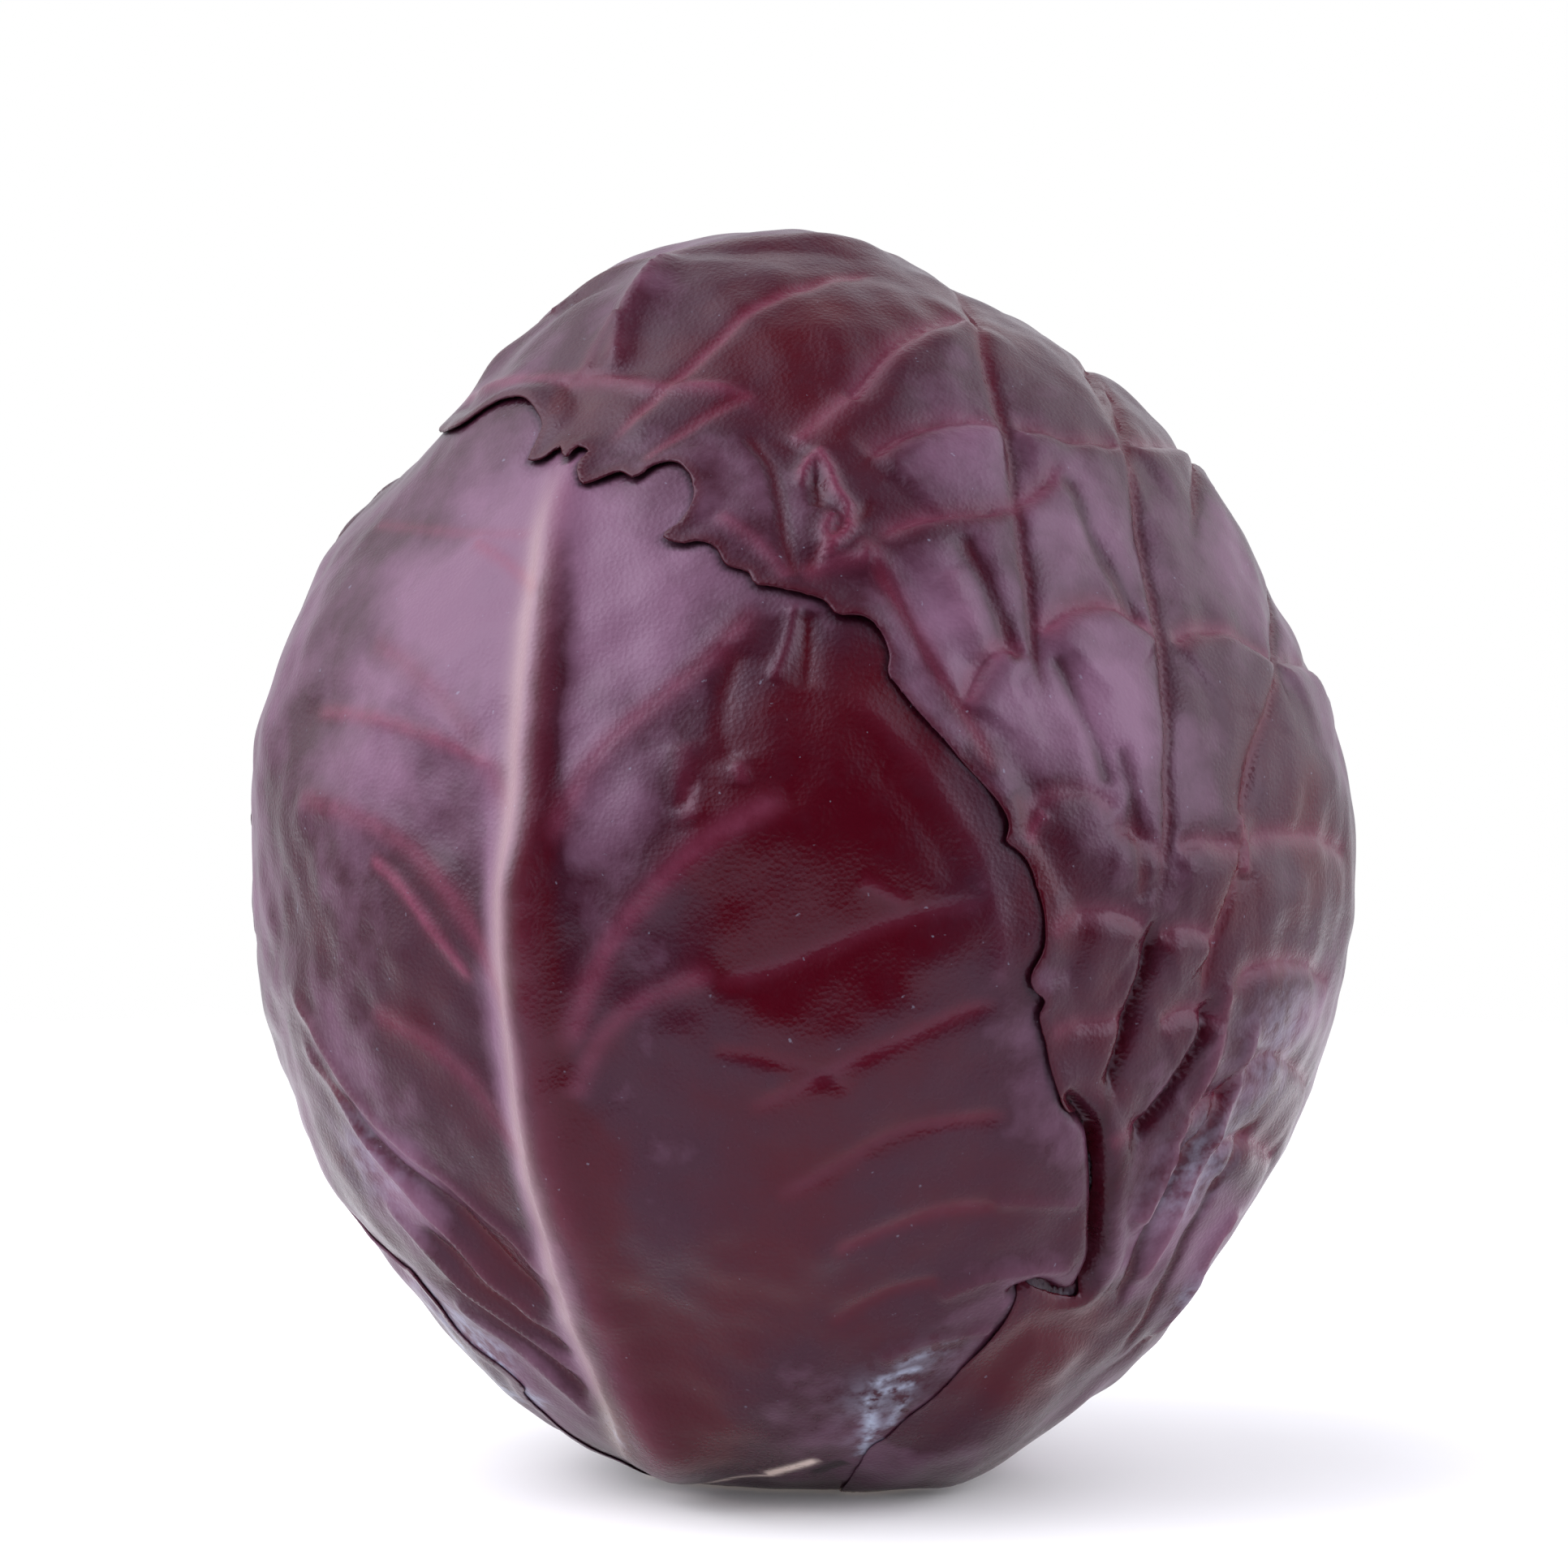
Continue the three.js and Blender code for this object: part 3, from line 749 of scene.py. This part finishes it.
# ---- The three wrapper leaves, outermost first ----
BASE = -82
RIGHT_MARGIN = np.vstack([
    on_globe([(100, -70), (92, -77), (84, BASE), (62, BASE), (44, BASE), (30, BASE), (19, -80.5)]),
    on_sketch([
        (8.8, 0.4), (12, 3.4), (16, 6.6), (20, 9.8), (23.2, 13.4), (26, 17), (28.2, 20), (29.6, 22.4),
        (30.8, 24.4), (33.4, 23.6), (36, 22.7), (38.4, 23), (39.8, 25.2), (41, 28), (41.5, 33), (41.9, 38),
        (41.7, 41.5), (40.8, 45.4), (39.4, 47.6), (37.2, 48.4), (35.6, 51), (34.6, 54.5), (34, 58),
        (33, 61.6), (33.6, 64), (32, 65.6), (31.6, 67.6), (33.2, 71), (33.5, 75), (32.8, 79),
        (31.4, 83), (29.4, 85.1), (28.2, 85.8), (28.6, 88.2), (27.4, 91), (25, 94), (22, 97), (19, 100.5),
        (16, 104), (13.8, 107), (12.2, 109.2), (12.4, 111.4), (11.4, 114.2), (9.4, 116.3), (7, 116.8),
        (5, 117), (3.4, 119), (1, 119.9), (-1.4, 120.4), (-4, 121), (-6.2, 121.4), (-7.2, 123.2),
        (-10.2, 124.2), (-11.4, 126.2), (-13.4, 127.2), (-16.4, 126.9), (-18.8, 127.8), (-16.6, 129.4),
        (-14.9, 131.6), (-14.5, 134), (-15.4, 136.8), (-17.6, 138), (-20.4, 137.3), (-22.6, 135.7),
        (-25, 136.8), (-27.6, 135.5), (-29.8, 134.7), (-30.2, 137.4), (-28.9, 139.5), (-30.6, 139.8),
        (-32, 138), (-33, 140.1), (-35.4, 139), (-37.4, 138.6), (-36.4, 141), (-35.4, 143.4),
        (-37, 145.7), (-39.6, 145.8), (-43, 144), (-46.6, 142), (-49.4, 142.2),
    ]),
    on_globe([
        (-80, 53), (-86, 60), (-78, 70), (-50, 79), (60, 84), (130, 72), (148, 45), (146, 20), (143, 0),
        (138, -22), (122, -43), (108, -60),
    ]),
])
BACK_MARGIN = np.vstack([
    on_globe([
        (88, -72), (95, -60), (104, -42), (107, -20), (108, 0), (108, 22), (104, 45), (88, 62), (55, 72),
        (15, 75), (-40, 74), (-80, 68), (-100, 58), (-105, 44), (-102, 30), (-99, 14), (-98, 0), (-97, -14),
        (-92, -29),
    ]),
    on_sketch([(-56, 28.5), (-53.6, 26.8), (-51, 24), (-47, 19), (-42, 14.5), (-38, 11), (-36.5, 8.4)]),
    on_globe([(-74, -79), (-84, BASE), (-110, BASE), (-160, BASE), (160, BASE), (120, BASE), (84, BASE),
              (84, -78)]),
])
FRONT_MARGIN = np.vstack([
    on_globe([
        (20, -79), (0, BASE), (-34, BASE), (-60, BASE), (-88, BASE), (-94, -77), (-98, -64),
        (-103, -54), (-110, -40), (-119, -20), (-123, 0), (-121, 20), (-114, 45), (-98, 62),
        (-31, 74), (22, 60), (36, 40), (42, 20), (43, 0), (43, -14),
    ]),
    on_sketch([(46, 52), (46.5, 45), (47.5, 38), (47, 31), (45.6, 23), (43, 17.6), (38, 13), (32, 8.6),
               (25.4, 4.6), (19.6, 1.4), (15, 0)]),
])
RIGHT = Outline((50, 12), RIGHT_MARGIN)
BACK = Outline((190, 5), BACK_MARGIN)
FRONT = Outline((-35, 2), FRONT_MARGIN)

PAINTS = ("pink", "dark", "bloom_and_painted_light", "cream", "wax", "tint")
BROAD_WAVE, FINE_WAVE = 34, 9
HOLLOW_WIDTH = 3.2       # how far a vein draws the blade down beside it
FULLEST_PAINT = 1.5


class Relief:
    """A leaf's own surface: pillows between its veins, the marks drawn on it, and gentle waves.

    Called with directions, it gives the height over the head's shape and a dict of paint values.
    """

    def __init__(self, level, network, marks, pillow, seed, spots=()):
        self.level, self.network, self.marks, self.pillow = level, network, marks, pillow
        self.spots = spots
        self.broad, self.fine = Waves(seed, BROAD_WAVE), Waves(seed + 1, FINE_WAVE)

    def __call__(self, d):
        p = d * MEAN_RADIUS
        paint = {key: np.zeros(len(d)) for key in PAINTS}
        height = self.level + 0.4 * self.broad(p) + 0.12 * self.fine(p)
        nearest = np.full(len(d), PILLOW_REACH)
        carve(self.network, p, height, paint, nearest)
        hollow = np.exp(-nearest / HOLLOW_WIDTH)
        height += self.pillow * (0.3 - hollow)
        paint["tint"] += 0.3 * (0.5 - hollow)
        carve(self.marks, p, height, paint)
        mottle = 0.12 * self.broad(p[:, [1, 2, 0]]) + 0.05 * self.fine(p[:, [2, 0, 1]])
        paint["bloom_and_painted_light"] = 0.5 + mottle + paint.pop("tint")
        for key, centre, radius, change in self.spots:
            away = np.linalg.norm(p - centre, axis=1) / radius
            paint[key] = np.clip(paint[key] + change * np.exp(-away * away), 0, FULLEST_PAINT)
        return height, paint


RIGHT_RIB_AZIMUTH = 58
BACK_RIB_AZIMUTH = 195
FRONT_RIB_AZIMUTH = -31
RIGHT_NET = leaf_net(RIGHT_RIB_AZIMUTH, 21, -0.22)
BACK_NET = leaf_net(BACK_RIB_AZIMUTH, 22)
FRONT_NET = leaf_net(FRONT_RIB_AZIMUTH, 23, -0.05)
RIGHT_VEINS = RIGHT_LONG_VEINS + RIGHT_ARCS + RIGHT_NET
RIGHT_STROKES = RIGHT_VALLEYS + TOP_FOLDS + KNOT_FOLDS + RIGHT_FOLDS
FRONT_STROKES = FRONT_RIB + FRONT_FURROWS + FRONT_PLEATS + FRONT_CREVICE + FRONT_MARKS
RIGHT_LEVEL = -0.6
BACK_LEVEL = -0.6
FRONT_LEVEL = -0.8
RIGHT_RELIEF = Relief(RIGHT_LEVEL, RIGHT_VEINS, RIGHT_STROKES, 1.0, 31, RIGHT_PATCHES)
BACK_RELIEF = Relief(BACK_LEVEL, BACK_NET, [midrib(BACK_RIB_AZIMUTH, 3.0, 6.0)], 1.3, 33, BACK_PATCHES)
FRONT_RELIEF = Relief(FRONT_LEVEL, FRONT_VEINS + FRONT_NET, FRONT_STROKES, 0.6, 35, FRONT_PATCHES)


def sink(d, height, level, covers):
    """Lowers a leaf under those that cover it, and clear of their deepest folds."""
    for outline, relief in covers:
        depth = outline.depth(d, MARGIN_REACH)
        covered = ease(1, COVERED_AT, depth)
        height = level + (height - level) * (1 - COVER_FLATTENS * covered)
        height -= LEAF_SINK * covered
        level = level - LEAF_SINK
        under = np.flatnonzero(depth > CLEAR_FROM)
        ceiling = relief(d[under])[0] - BLADE - 3 * LEAF_GAP
        height[under] -= ease(CLEAR_FROM, COVERED_AT, depth[under]) * np.maximum(height[under] - ceiling, 0)
    return height


MARGIN_WAVES = Waves(51, 13)


def clear_of_base(d):
    """0 where the leaf stalks run together at the base, 1 higher up."""
    return ease(-0.80, -0.68, d[:, 2])


def margin_blade(d, depth):
    """A blade's thickness, which thins towards its margin and most of all near the base."""
    margin = MARGIN_BLADE * (0.4 + 0.6 * clear_of_base(d))
    return margin + (BLADE - margin) * ease(0, 6, depth)


def settle(d, height, outline, beneath, lift):
    """Rests a leaf's margin on the leaves beneath it, curled off them by up to the lift."""
    depth = outline.depth(d, MARGIN_REACH)
    blade = margin_blade(d, depth)
    near = np.flatnonzero(depth < MARGIN_REACH)
    for lower, surface in beneath:
        curl = lift * ease(3, 0, depth[near]) * (0.55 + 0.45 * MARGIN_WAVES(d[near] * MEAN_RADIUS))
        curl *= clear_of_base(d[near])
        bed = surface(d[near])[0] + LEAF_GAP + blade[near] + curl
        lap = lower.depth(d[near], 6)
        rest = (1 - ease(0, 8, depth[near])) * ease(-1, 4, lap)
        settled = height[near] * (1 - rest) + bed * rest
        height[near] = np.where(lap > -1, np.maximum(settled, bed), settled)
    return height


def shade_under(d, outline, paint):
    """Darkens the strip beside a margin that lies on this leaf."""
    outside = outline.depth(d, 3)
    strip = 0.9 * ease(-1.1, -0.3, outside) * clear_of_base(d)
    paint["dark"] = np.maximum(paint["dark"], strip)


def front_surface(d):
    height, paint = FRONT_RELIEF(d)
    shade_under(d, RIGHT, paint)
    return sink(d, height, FRONT_LEVEL, [(RIGHT, RIGHT_RELIEF), (BACK, BACK_RELIEF)]), paint


def back_surface(d):
    height, paint = BACK_RELIEF(d)
    height = sink(d, height, BACK_LEVEL, [(RIGHT, RIGHT_RELIEF)])
    return settle(d, height, BACK, [(FRONT, front_surface)], 0.0), paint


def right_surface(d):
    height, paint = RIGHT_RELIEF(d)
    beneath = [(FRONT, front_surface), (BACK, back_surface)]
    return settle(d, height, RIGHT, beneath, MARGIN_LIFT), paint


def wrapper_shape(outline, surface, rib_azimuth):
    """A wrapper leaf's radius, thickness and paint, cut flat where the head stands."""
    def shape(d):
        height, paint = surface(d)
        depth = outline.depth(d, MARGIN_REACH)
        radius = head_radius(d) + height
        blade = margin_blade(d, depth)
        ribward = d @ on_globe([(rib_azimuth, -70)])[0]
        blade += RIB_BLADE * ease(0.86, 0.99, ribward) * ease(0, 5, depth)
        cut = (CENTRE[2] - CUT_HEIGHT) / np.maximum(-d[:, 2], 0.1)
        paint["cream"] = np.maximum(paint["cream"], ease(-0.5, 0.4, radius - cut))
        # Painted shade along the leaf's own margin, left out near the base.
        paint["edge"] = (1 - ease(0.2, 1.4, depth)) * clear_of_base(d)
        return np.minimum(radius, cut), blade, paint
    return shape


# ---- Materials ----
def node(tree, kind, inputs=None, **settings):
    """Adds a node; inputs are sockets to link or values to set."""
    made = tree.nodes.new(kind)
    for key, value in settings.items():
        setattr(made, key, value)
    for key, value in (inputs or {}).items():
        if isinstance(value, bpy.types.NodeSocket):
            tree.links.new(value, made.inputs[key])
        else:
            made.inputs[key].default_value = value
    return made


def blend(tree, factor, a, b, mode="MIX"):
    return node(tree, "ShaderNodeMix", {0: factor, 6: a, 7: b}, data_type="RGBA", blend_type=mode).outputs[2]


def maths(tree, operation, a, b=0.0, clamp=False):
    return node(tree, "ShaderNodeMath", {0: a, 1: b}, operation=operation, use_clamp=clamp).outputs[0]


def spread(tree, value, low, high, to_low=0.0, to_high=1.0):
    """Maps low..high to to_low..to_high, held at both ends."""
    inputs = {0: value, 1: low, 2: high, 3: to_low, 4: to_high}
    return node(tree, "ShaderNodeMapRange", inputs, clamp=True).outputs[0]


def noise(tree, where, scale, detail=4.0, roughness=0.55):
    inputs = {"Vector": where, "Scale": scale, "Detail": detail, "Roughness": roughness}
    return node(tree, "ShaderNodeTexNoise", inputs).outputs[0]


def painted(tree, name):
    return node(tree, "ShaderNodeAttribute", attribute_name=name).outputs["Fac"]


def raise_grain(tree, shader, rise):
    bump = node(tree, "ShaderNodeBump", {"Strength": 0.4, "Distance": 0.0005, "Height": rise})
    tree.links.new(bump.outputs[0], shader.inputs["Normal"])


def new_material(name):
    material = bpy.data.materials.new(name)
    material.use_nodes = True
    tree = material.node_tree
    shader = tree.nodes["Principled BSDF"]
    where = node(tree, "ShaderNodeTexCoord").outputs["Object"]
    return material, tree, shader, where


MAROON = (0.048, 0.0012, 0.005, 1)
PURPLE = (0.035, 0.0064, 0.0142, 1)
LILAC = (0.152, 0.073, 0.123, 1)
PINK = (0.180, 0.038, 0.075, 1)
CREAM = (0.700, 0.560, 0.500, 1)
WAX_AND_SHEEN = (0.300, 0.330, 0.430, 1)
SHADOW = (0.012, 0.001, 0.004, 1)


def wrapper_material():
    """Waxy red-cabbage skin: maroon flesh under a lilac bloom that also carries painted sheen and shade,
    pink veins, frosty wax with some painted sheen, painted shade in deep creases, under margins and along
    them, and fine leathery grain.
    """
    material, tree, shader, where = new_material("waxy_wrapper_leaf")
    cloud = noise(tree, where, 45, 3)
    mottle = noise(tree, where, 380, 3, 0.55)
    cells = node(tree, "ShaderNodeTexVoronoi", {"Vector": where, "Scale": 1700.0})
    grain = maths(tree, "ADD", noise(tree, where, 1300, 2, 0.6), cells.outputs["Distance"])
    bloom_and_painted_light = maths(tree, "ADD", painted(tree, "bloom_and_painted_light"), spread(tree, cloud, 0.3, 0.7, -0.08, 0.08))
    bloom_and_painted_light = maths(tree, "ADD", bloom_and_painted_light, spread(tree, mottle, 0.3, 0.7, -0.07, 0.07))
    colour = blend(tree, spread(tree, bloom_and_painted_light, 0.0, 0.5), MAROON, PURPLE)
    colour = blend(tree, spread(tree, bloom_and_painted_light, 0.55, 1.15), colour, LILAC)
    vein = maths(tree, "MULTIPLY", painted(tree, "pink"), spread(tree, mottle, 0.3, 0.7, 0.6, 0.95), True)
    colour = blend(tree, vein, colour, PINK)
    # Painted shade in deep grooves, beside overlying margins and in the gap at the base, almost to black.
    colour = blend(tree, maths(tree, "MULTIPLY", painted(tree, "dark"), 0.95, True), colour, SHADOW)
    specks = spread(tree, noise(tree, where, 900, 2), 0.73, 0.78)
    wax = maths(tree, "MULTIPLY", painted(tree, "wax"), spread(tree, mottle, 0.4, 0.6), True)
    colour = blend(tree, maths(tree, "MAXIMUM", wax, maths(tree, "MULTIPLY", specks, 0.25)), colour, WAX_AND_SHEEN)
    # Painted shade along each leaf's own margin, half way to maroon.
    colour = blend(tree, maths(tree, "MULTIPLY", painted(tree, "edge"), 0.5, True), colour, MAROON)
    # Cut flesh at the base, and the rib's pale stripe, which includes a painted highlight.
    colour = blend(tree, painted(tree, "cream"), colour, CREAM)
    tree.links.new(colour, shader.inputs["Base Color"])
    rough = spread(tree, maths(tree, "ADD", bloom_and_painted_light, mottle), 0.3, 1.5, 0.20, 0.34)
    tree.links.new(rough, shader.inputs["Roughness"])
    shader.inputs["Specular IOR Level"].default_value = 0.20
    shader.inputs["Specular Tint"].default_value = (0.86, 0.78, 1.0, 1)
    shader.inputs["Coat Weight"].default_value = 0.04
    shader.inputs["Coat Roughness"].default_value = 0.20
    rise = maths(tree, "ADD", maths(tree, "MULTIPLY", mottle, 0.35), maths(tree, "MULTIPLY", grain, 0.22))
    raise_grain(tree, shader, rise)
    return material


def pale_material(name, low, high, rough):
    """Moist plant flesh, mottled between two colours."""
    material, tree, shader, where = new_material(name)
    mottle = noise(tree, where, 240, 5, 0.6)
    fibre = noise(tree, where, 1500, 3, 0.6)
    colour = blend(tree, spread(tree, mottle, 0.3, 0.7), low, high)
    vein = maths(tree, "MULTIPLY", painted(tree, "pink"), 0.7, True)
    colour = blend(tree, vein, colour, CREAM)
    tree.links.new(colour, shader.inputs["Base Color"])
    tree.links.new(spread(tree, fibre, 0.3, 0.7, rough - 0.08, rough + 0.08), shader.inputs["Roughness"])
    rise = maths(tree, "ADD", mottle, maths(tree, "MULTIPLY", fibre, 0.3))
    raise_grain(tree, shader, rise)
    return material


# ---- The head's inside: inner leaves, heart and stem ----
INNER_COUNT = 8
INNER_START = 7.0
INNER_PITCH = 2.6
INNER_BLADE = 1.3
FIRST_INNER_AZIMUTH = 107
LEAF_TURN = 137.5
INNER_HALF = [(40, -70), (72, -52), (88, -32), (94, -8), (96, 16), (98, 38), (104, 54), (130, 70)]


def inner_leaf(index, material):
    azimuth = FIRST_INNER_AZIMUTH + index * LEAF_TURN
    right = [(azimuth + a, e) for a, e in INNER_HALF]
    left = [(azimuth - a, e) for a, e in reversed(INNER_HALF)]
    outline = Outline((azimuth, 10), on_globe([(azimuth, -70)] + right + [(azimuth + 180, 78)] + left), 2.0)
    relief = Relief(0, leaf_net(azimuth, 60 + index), [midrib(azimuth, 1.0, 5.0)], 0.4, 80 + index)

    def shape(d):
        height, paint = relief(d)
        height = np.clip(0.3 * height, -0.5, 0.5)
        depth = -INNER_START - INNER_PITCH * index
        blade = np.full(len(d), INNER_BLADE)
        return head_radius(d) + depth + height, blade, {"pink": paint["pink"]}

    return leaf_mesh(f"tender_leaf_{index + 1}", outline, INNER_SPACING, shape, material)


def capped_faces(rings, columns):
    """Outward triangles of a closed stack of rings, with a last two points for its bottom and top."""
    faces = []
    for r in range(rings - 1):
        for c in range(columns):
            a, b = r * columns + c, r * columns + (c + 1) % columns
            faces += [(a, b, b + columns), (a, b + columns, a + columns)]
    top, bottom_point = (rings - 1) * columns, rings * columns
    for c in range(columns):
        after = (c + 1) % columns
        faces += [(after, c, bottom_point), (top + c, top + after, bottom_point + 1)]
    return np.array(faces)


def globe_grid(rows, columns):
    """Directions and triangles of a closed globe with one point at each pole."""
    elevations = np.linspace(-90, 90, rows + 1)[1:-1]
    azimuths = np.arange(columns) * 360 / columns
    ring = np.stack(np.meshgrid(azimuths, elevations), -1).reshape(-1, 2)
    d = np.vstack([on_globe(ring), [[0, 0, -1.0], [0, 0, 1.0]]])
    return d, capped_faces(rows - 1, columns)


HEART_DEPTH = 29.0
HEART_LAP = 1.2


def heart(material):
    """The tight bud of young leaves: a ball whose lapped leaf edges wind round it."""
    d, faces = globe_grid(90, 160)
    relief = Relief(0, leaf_net(20, 91), [], 0.4, 92)
    height, paint = relief(d)
    azimuth = np.degrees(np.arctan2(d[:, 0], -d[:, 1]))
    elevation = np.degrees(np.arcsin(np.clip(d[:, 2], -1, 1)))
    turn = np.mod(azimuth * 3 / 360 + elevation / 90, 1)
    lap = HEART_LAP * turn * ease(1, 0.93, turn) * np.cos(np.radians(elevation))
    radius = head_radius(d) - HEART_DEPTH + 0.3 * height + lap - 0.8
    points = CENTRE + d * radius[:, None]
    return solid("heart_bud", points, faces, {"pink": paint["pink"]}, material)


STEM_PROFILE = [(0, 0.4), (7, 0.4), (10.2, 0.6), (10.8, 1.6), (11.2, 4.6), (13.5, 9), (14.6, 14),
                (14, 21), (12.2, 30), (10, 38), (8, 46), (5.4, 50.6), (0, 52)]
STEM_RINGS = 119
STEM_COLUMNS = 96


def stem(material):
    """The core that the leaves grow from, with its cut face and the scars of old leaves."""
    r, z = np.asarray(STEM_PROFILE, float).T
    t = np.linspace(0, len(r) - 1, STEM_RINGS + 2)[1:-1]
    r, z = np.interp(t, np.arange(len(r)), r), np.interp(t, np.arange(len(z)), z)
    sweep = np.arange(STEM_COLUMNS) * 2 * np.pi / STEM_COLUMNS
    d = np.stack(np.meshgrid(sweep, np.arange(len(t))), -1).reshape(-1, 2)
    row = d[:, 1].astype(int)
    wall = np.stack([np.cos(d[:, 0]), np.sin(d[:, 0]), z[row] / 12], 1)
    bumps = Waves(101, 1.6)(wall) * ease(4, 12, z[row]) * 0.35 + 0.2 * np.sin(9 * d[:, 0])
    reach = r[row] + bumps * ease(3, 8, r[row])
    points = np.stack([reach * np.cos(d[:, 0]), reach * np.sin(d[:, 0]), z[row]], 1)
    points[:, 2] += 0.8 * ease(7, 1, reach) * (z[row] < 1)
    points = np.vstack([points, [[0, 0, 1.2], [0, 0, STEM_PROFILE[-1][1]]]])
    ring = np.exp(-((np.hypot(points[:, 0], points[:, 1]) - 7.6) / 0.8) ** 2) * (points[:, 2] < 1.5)
    return solid("stem_core", points, capped_faces(len(t), STEM_COLUMNS), {"pink": ring}, material)


# ---- The head ----
def register(piece, replaced):
    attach(piece, "root")
    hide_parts(replaced)


wrapper = wrapper_material()
for name, outline, surface, rib, coarser in (
    ("right_wrapper", RIGHT, right_surface, RIGHT_RIB_AZIMUTH, 1.0),
    ("back_wrapper", BACK, back_surface, BACK_RIB_AZIMUTH, 1.12),
    ("front_wrapper", FRONT, front_surface, FRONT_RIB_AZIMUTH, 1.0),
):
    shape = wrapper_shape(outline, surface, rib)
    leaf = leaf_mesh(name, outline, LEAF_SPACING * coarser, shape, wrapper)
    register(leaf, name + "_leaf")

inner = pale_material("inner_leaf_flesh", (0.24, 0.05, 0.13, 1), (0.36, 0.10, 0.22, 1), 0.42)
for index in range(INNER_COUNT):
    register(inner_leaf(index, inner), f"inner_leaf_{index + 1}")

bud = pale_material("heart_flesh", (0.48, 0.24, 0.34, 1), (0.66, 0.44, 0.50, 1), 0.4)
register(heart(bud), "heart")

pith = pale_material("stem_flesh", (0.62, 0.50, 0.42, 1), (0.76, 0.68, 0.60, 1), 0.6)
register(stem(pith), "cut_stem")


# ---- Floor, light and camera ----
FLOOR_RADIUS = 0.55
FLOOR_CLEAR = 0.20


def floor():
    """A pale disc that fades into the white surroundings."""
    mesh = bpy.data.meshes.new("floor")
    turns = np.linspace(0, 2 * np.pi, 96, endpoint=False)
    points = [(FLOOR_RADIUS * np.cos(a), FLOOR_RADIUS * np.sin(a), 0) for a in turns]
    mesh.from_pydata(points, [], [list(range(len(points)))])
    add_object("floor", mesh)
    material, tree, shader, where = new_material("white_table")
    tint = spread(tree, noise(tree, where, 30, 2), 0.3, 0.7, 0.93, 0.95)
    tree.links.new(tint, shader.inputs["Base Color"])
    shader.inputs["Roughness"].default_value = 0.7
    shader.inputs["Specular IOR Level"].default_value = 0.2
    shader.inputs["Emission Color"].default_value = (1, 1, 1, 1)
    shader.inputs["Emission Strength"].default_value = 0.05
    away = node(tree, "ShaderNodeVectorMath", {0: where}, operation="LENGTH").outputs["Value"]
    clear = node(tree, "ShaderNodeBsdfTransparent").outputs[0]
    fade = spread(tree, away, FLOOR_CLEAR, FLOOR_RADIUS * 0.95)
    mixed = node(tree, "ShaderNodeMixShader", {0: fade, 1: shader.outputs[0], 2: clear})
    tree.links.new(mixed.outputs[0], tree.nodes["Material Output"].inputs["Surface"])
    mesh.materials.append(material)


# Directions the surroundings glow from; each starts and is full at a cosine, and has a strength.
WORLD_DIM = 0.03
WORLD_LOBES = [
    (np.array([0.0, 1.0, 0.0]), 0.1, 0.8, 0.9),
    (np.array([-0.80, -0.15, 0.60]), 0.55, 1.0, 3.4),
    (np.array([0.90, -0.10, 0.40]), 0.55, 1.0, 2.8),
    (np.array([0.0, 0.0, 1.0]), 0.4, 1.0, 0.3),
]


def surroundings():
    """White to the camera; to the head, dim in front and bright behind, on both sides and above."""
    world = bpy.data.worlds.new("studio")
    bpy.context.scene.world = world
    world.use_nodes = True
    tree = world.node_tree
    backing = tree.nodes["Background"]
    where = node(tree, "ShaderNodeTexCoord").outputs["Generated"]
    glow = WORLD_DIM
    for direction, low, high, strength in WORLD_LOBES:
        toward = node(tree, "ShaderNodeVectorMath", {0: where, 1: tuple(unit(direction))},
                      operation="DOT_PRODUCT")
        glow = maths(tree, "ADD", spread(tree, toward.outputs["Value"], low, high, 0, strength), glow)
    seen = node(tree, "ShaderNodeLightPath").outputs["Is Camera Ray"]
    level = node(tree, "ShaderNodeMix", {0: seen, 2: glow, 3: 1.0}, data_type="FLOAT").outputs[0]
    tree.links.new(blend(tree, seen, (0.93, 0.93, 1, 1), (1, 1, 1, 1)), backing.inputs["Color"])
    tree.links.new(level, backing.inputs["Strength"])


def softbox(name, position, size, watts):
    """A rectangular lamp that faces the middle of the head."""
    light = bpy.data.lights.new(name, "AREA")
    light.shape = "RECTANGLE"
    light.size, light.size_y = size
    light.energy = watts
    lamp = add_object(name, light)
    lamp.location = position
    aim = Vector((0, 0, 0.08)) - Vector(position)
    lamp.rotation_euler = aim.to_track_quat("-Z", "Y").to_euler()


floor()
surroundings()
softbox("key", (-0.85, -0.30, 0.75), (0.7, 0.9), 6)
softbox("side", (0.95, -0.25, 0.45), (0.5, 0.9), 3)

lens = bpy.data.cameras.new("camera")
lens.sensor_width = SENSOR
lens.lens = SENSOR * VIEW_DISTANCE / VIEW_WIDTH
lens.clip_start, lens.clip_end = 0.01, 20
camera = add_object("camera", lens)
camera.location = EYE * UNIT
camera.rotation_euler = Vector(SIGHT).to_track_quat("-Z", "Y").to_euler()
bpy.context.scene.camera = camera
bpy.context.scene.view_settings.view_transform = "Standard"
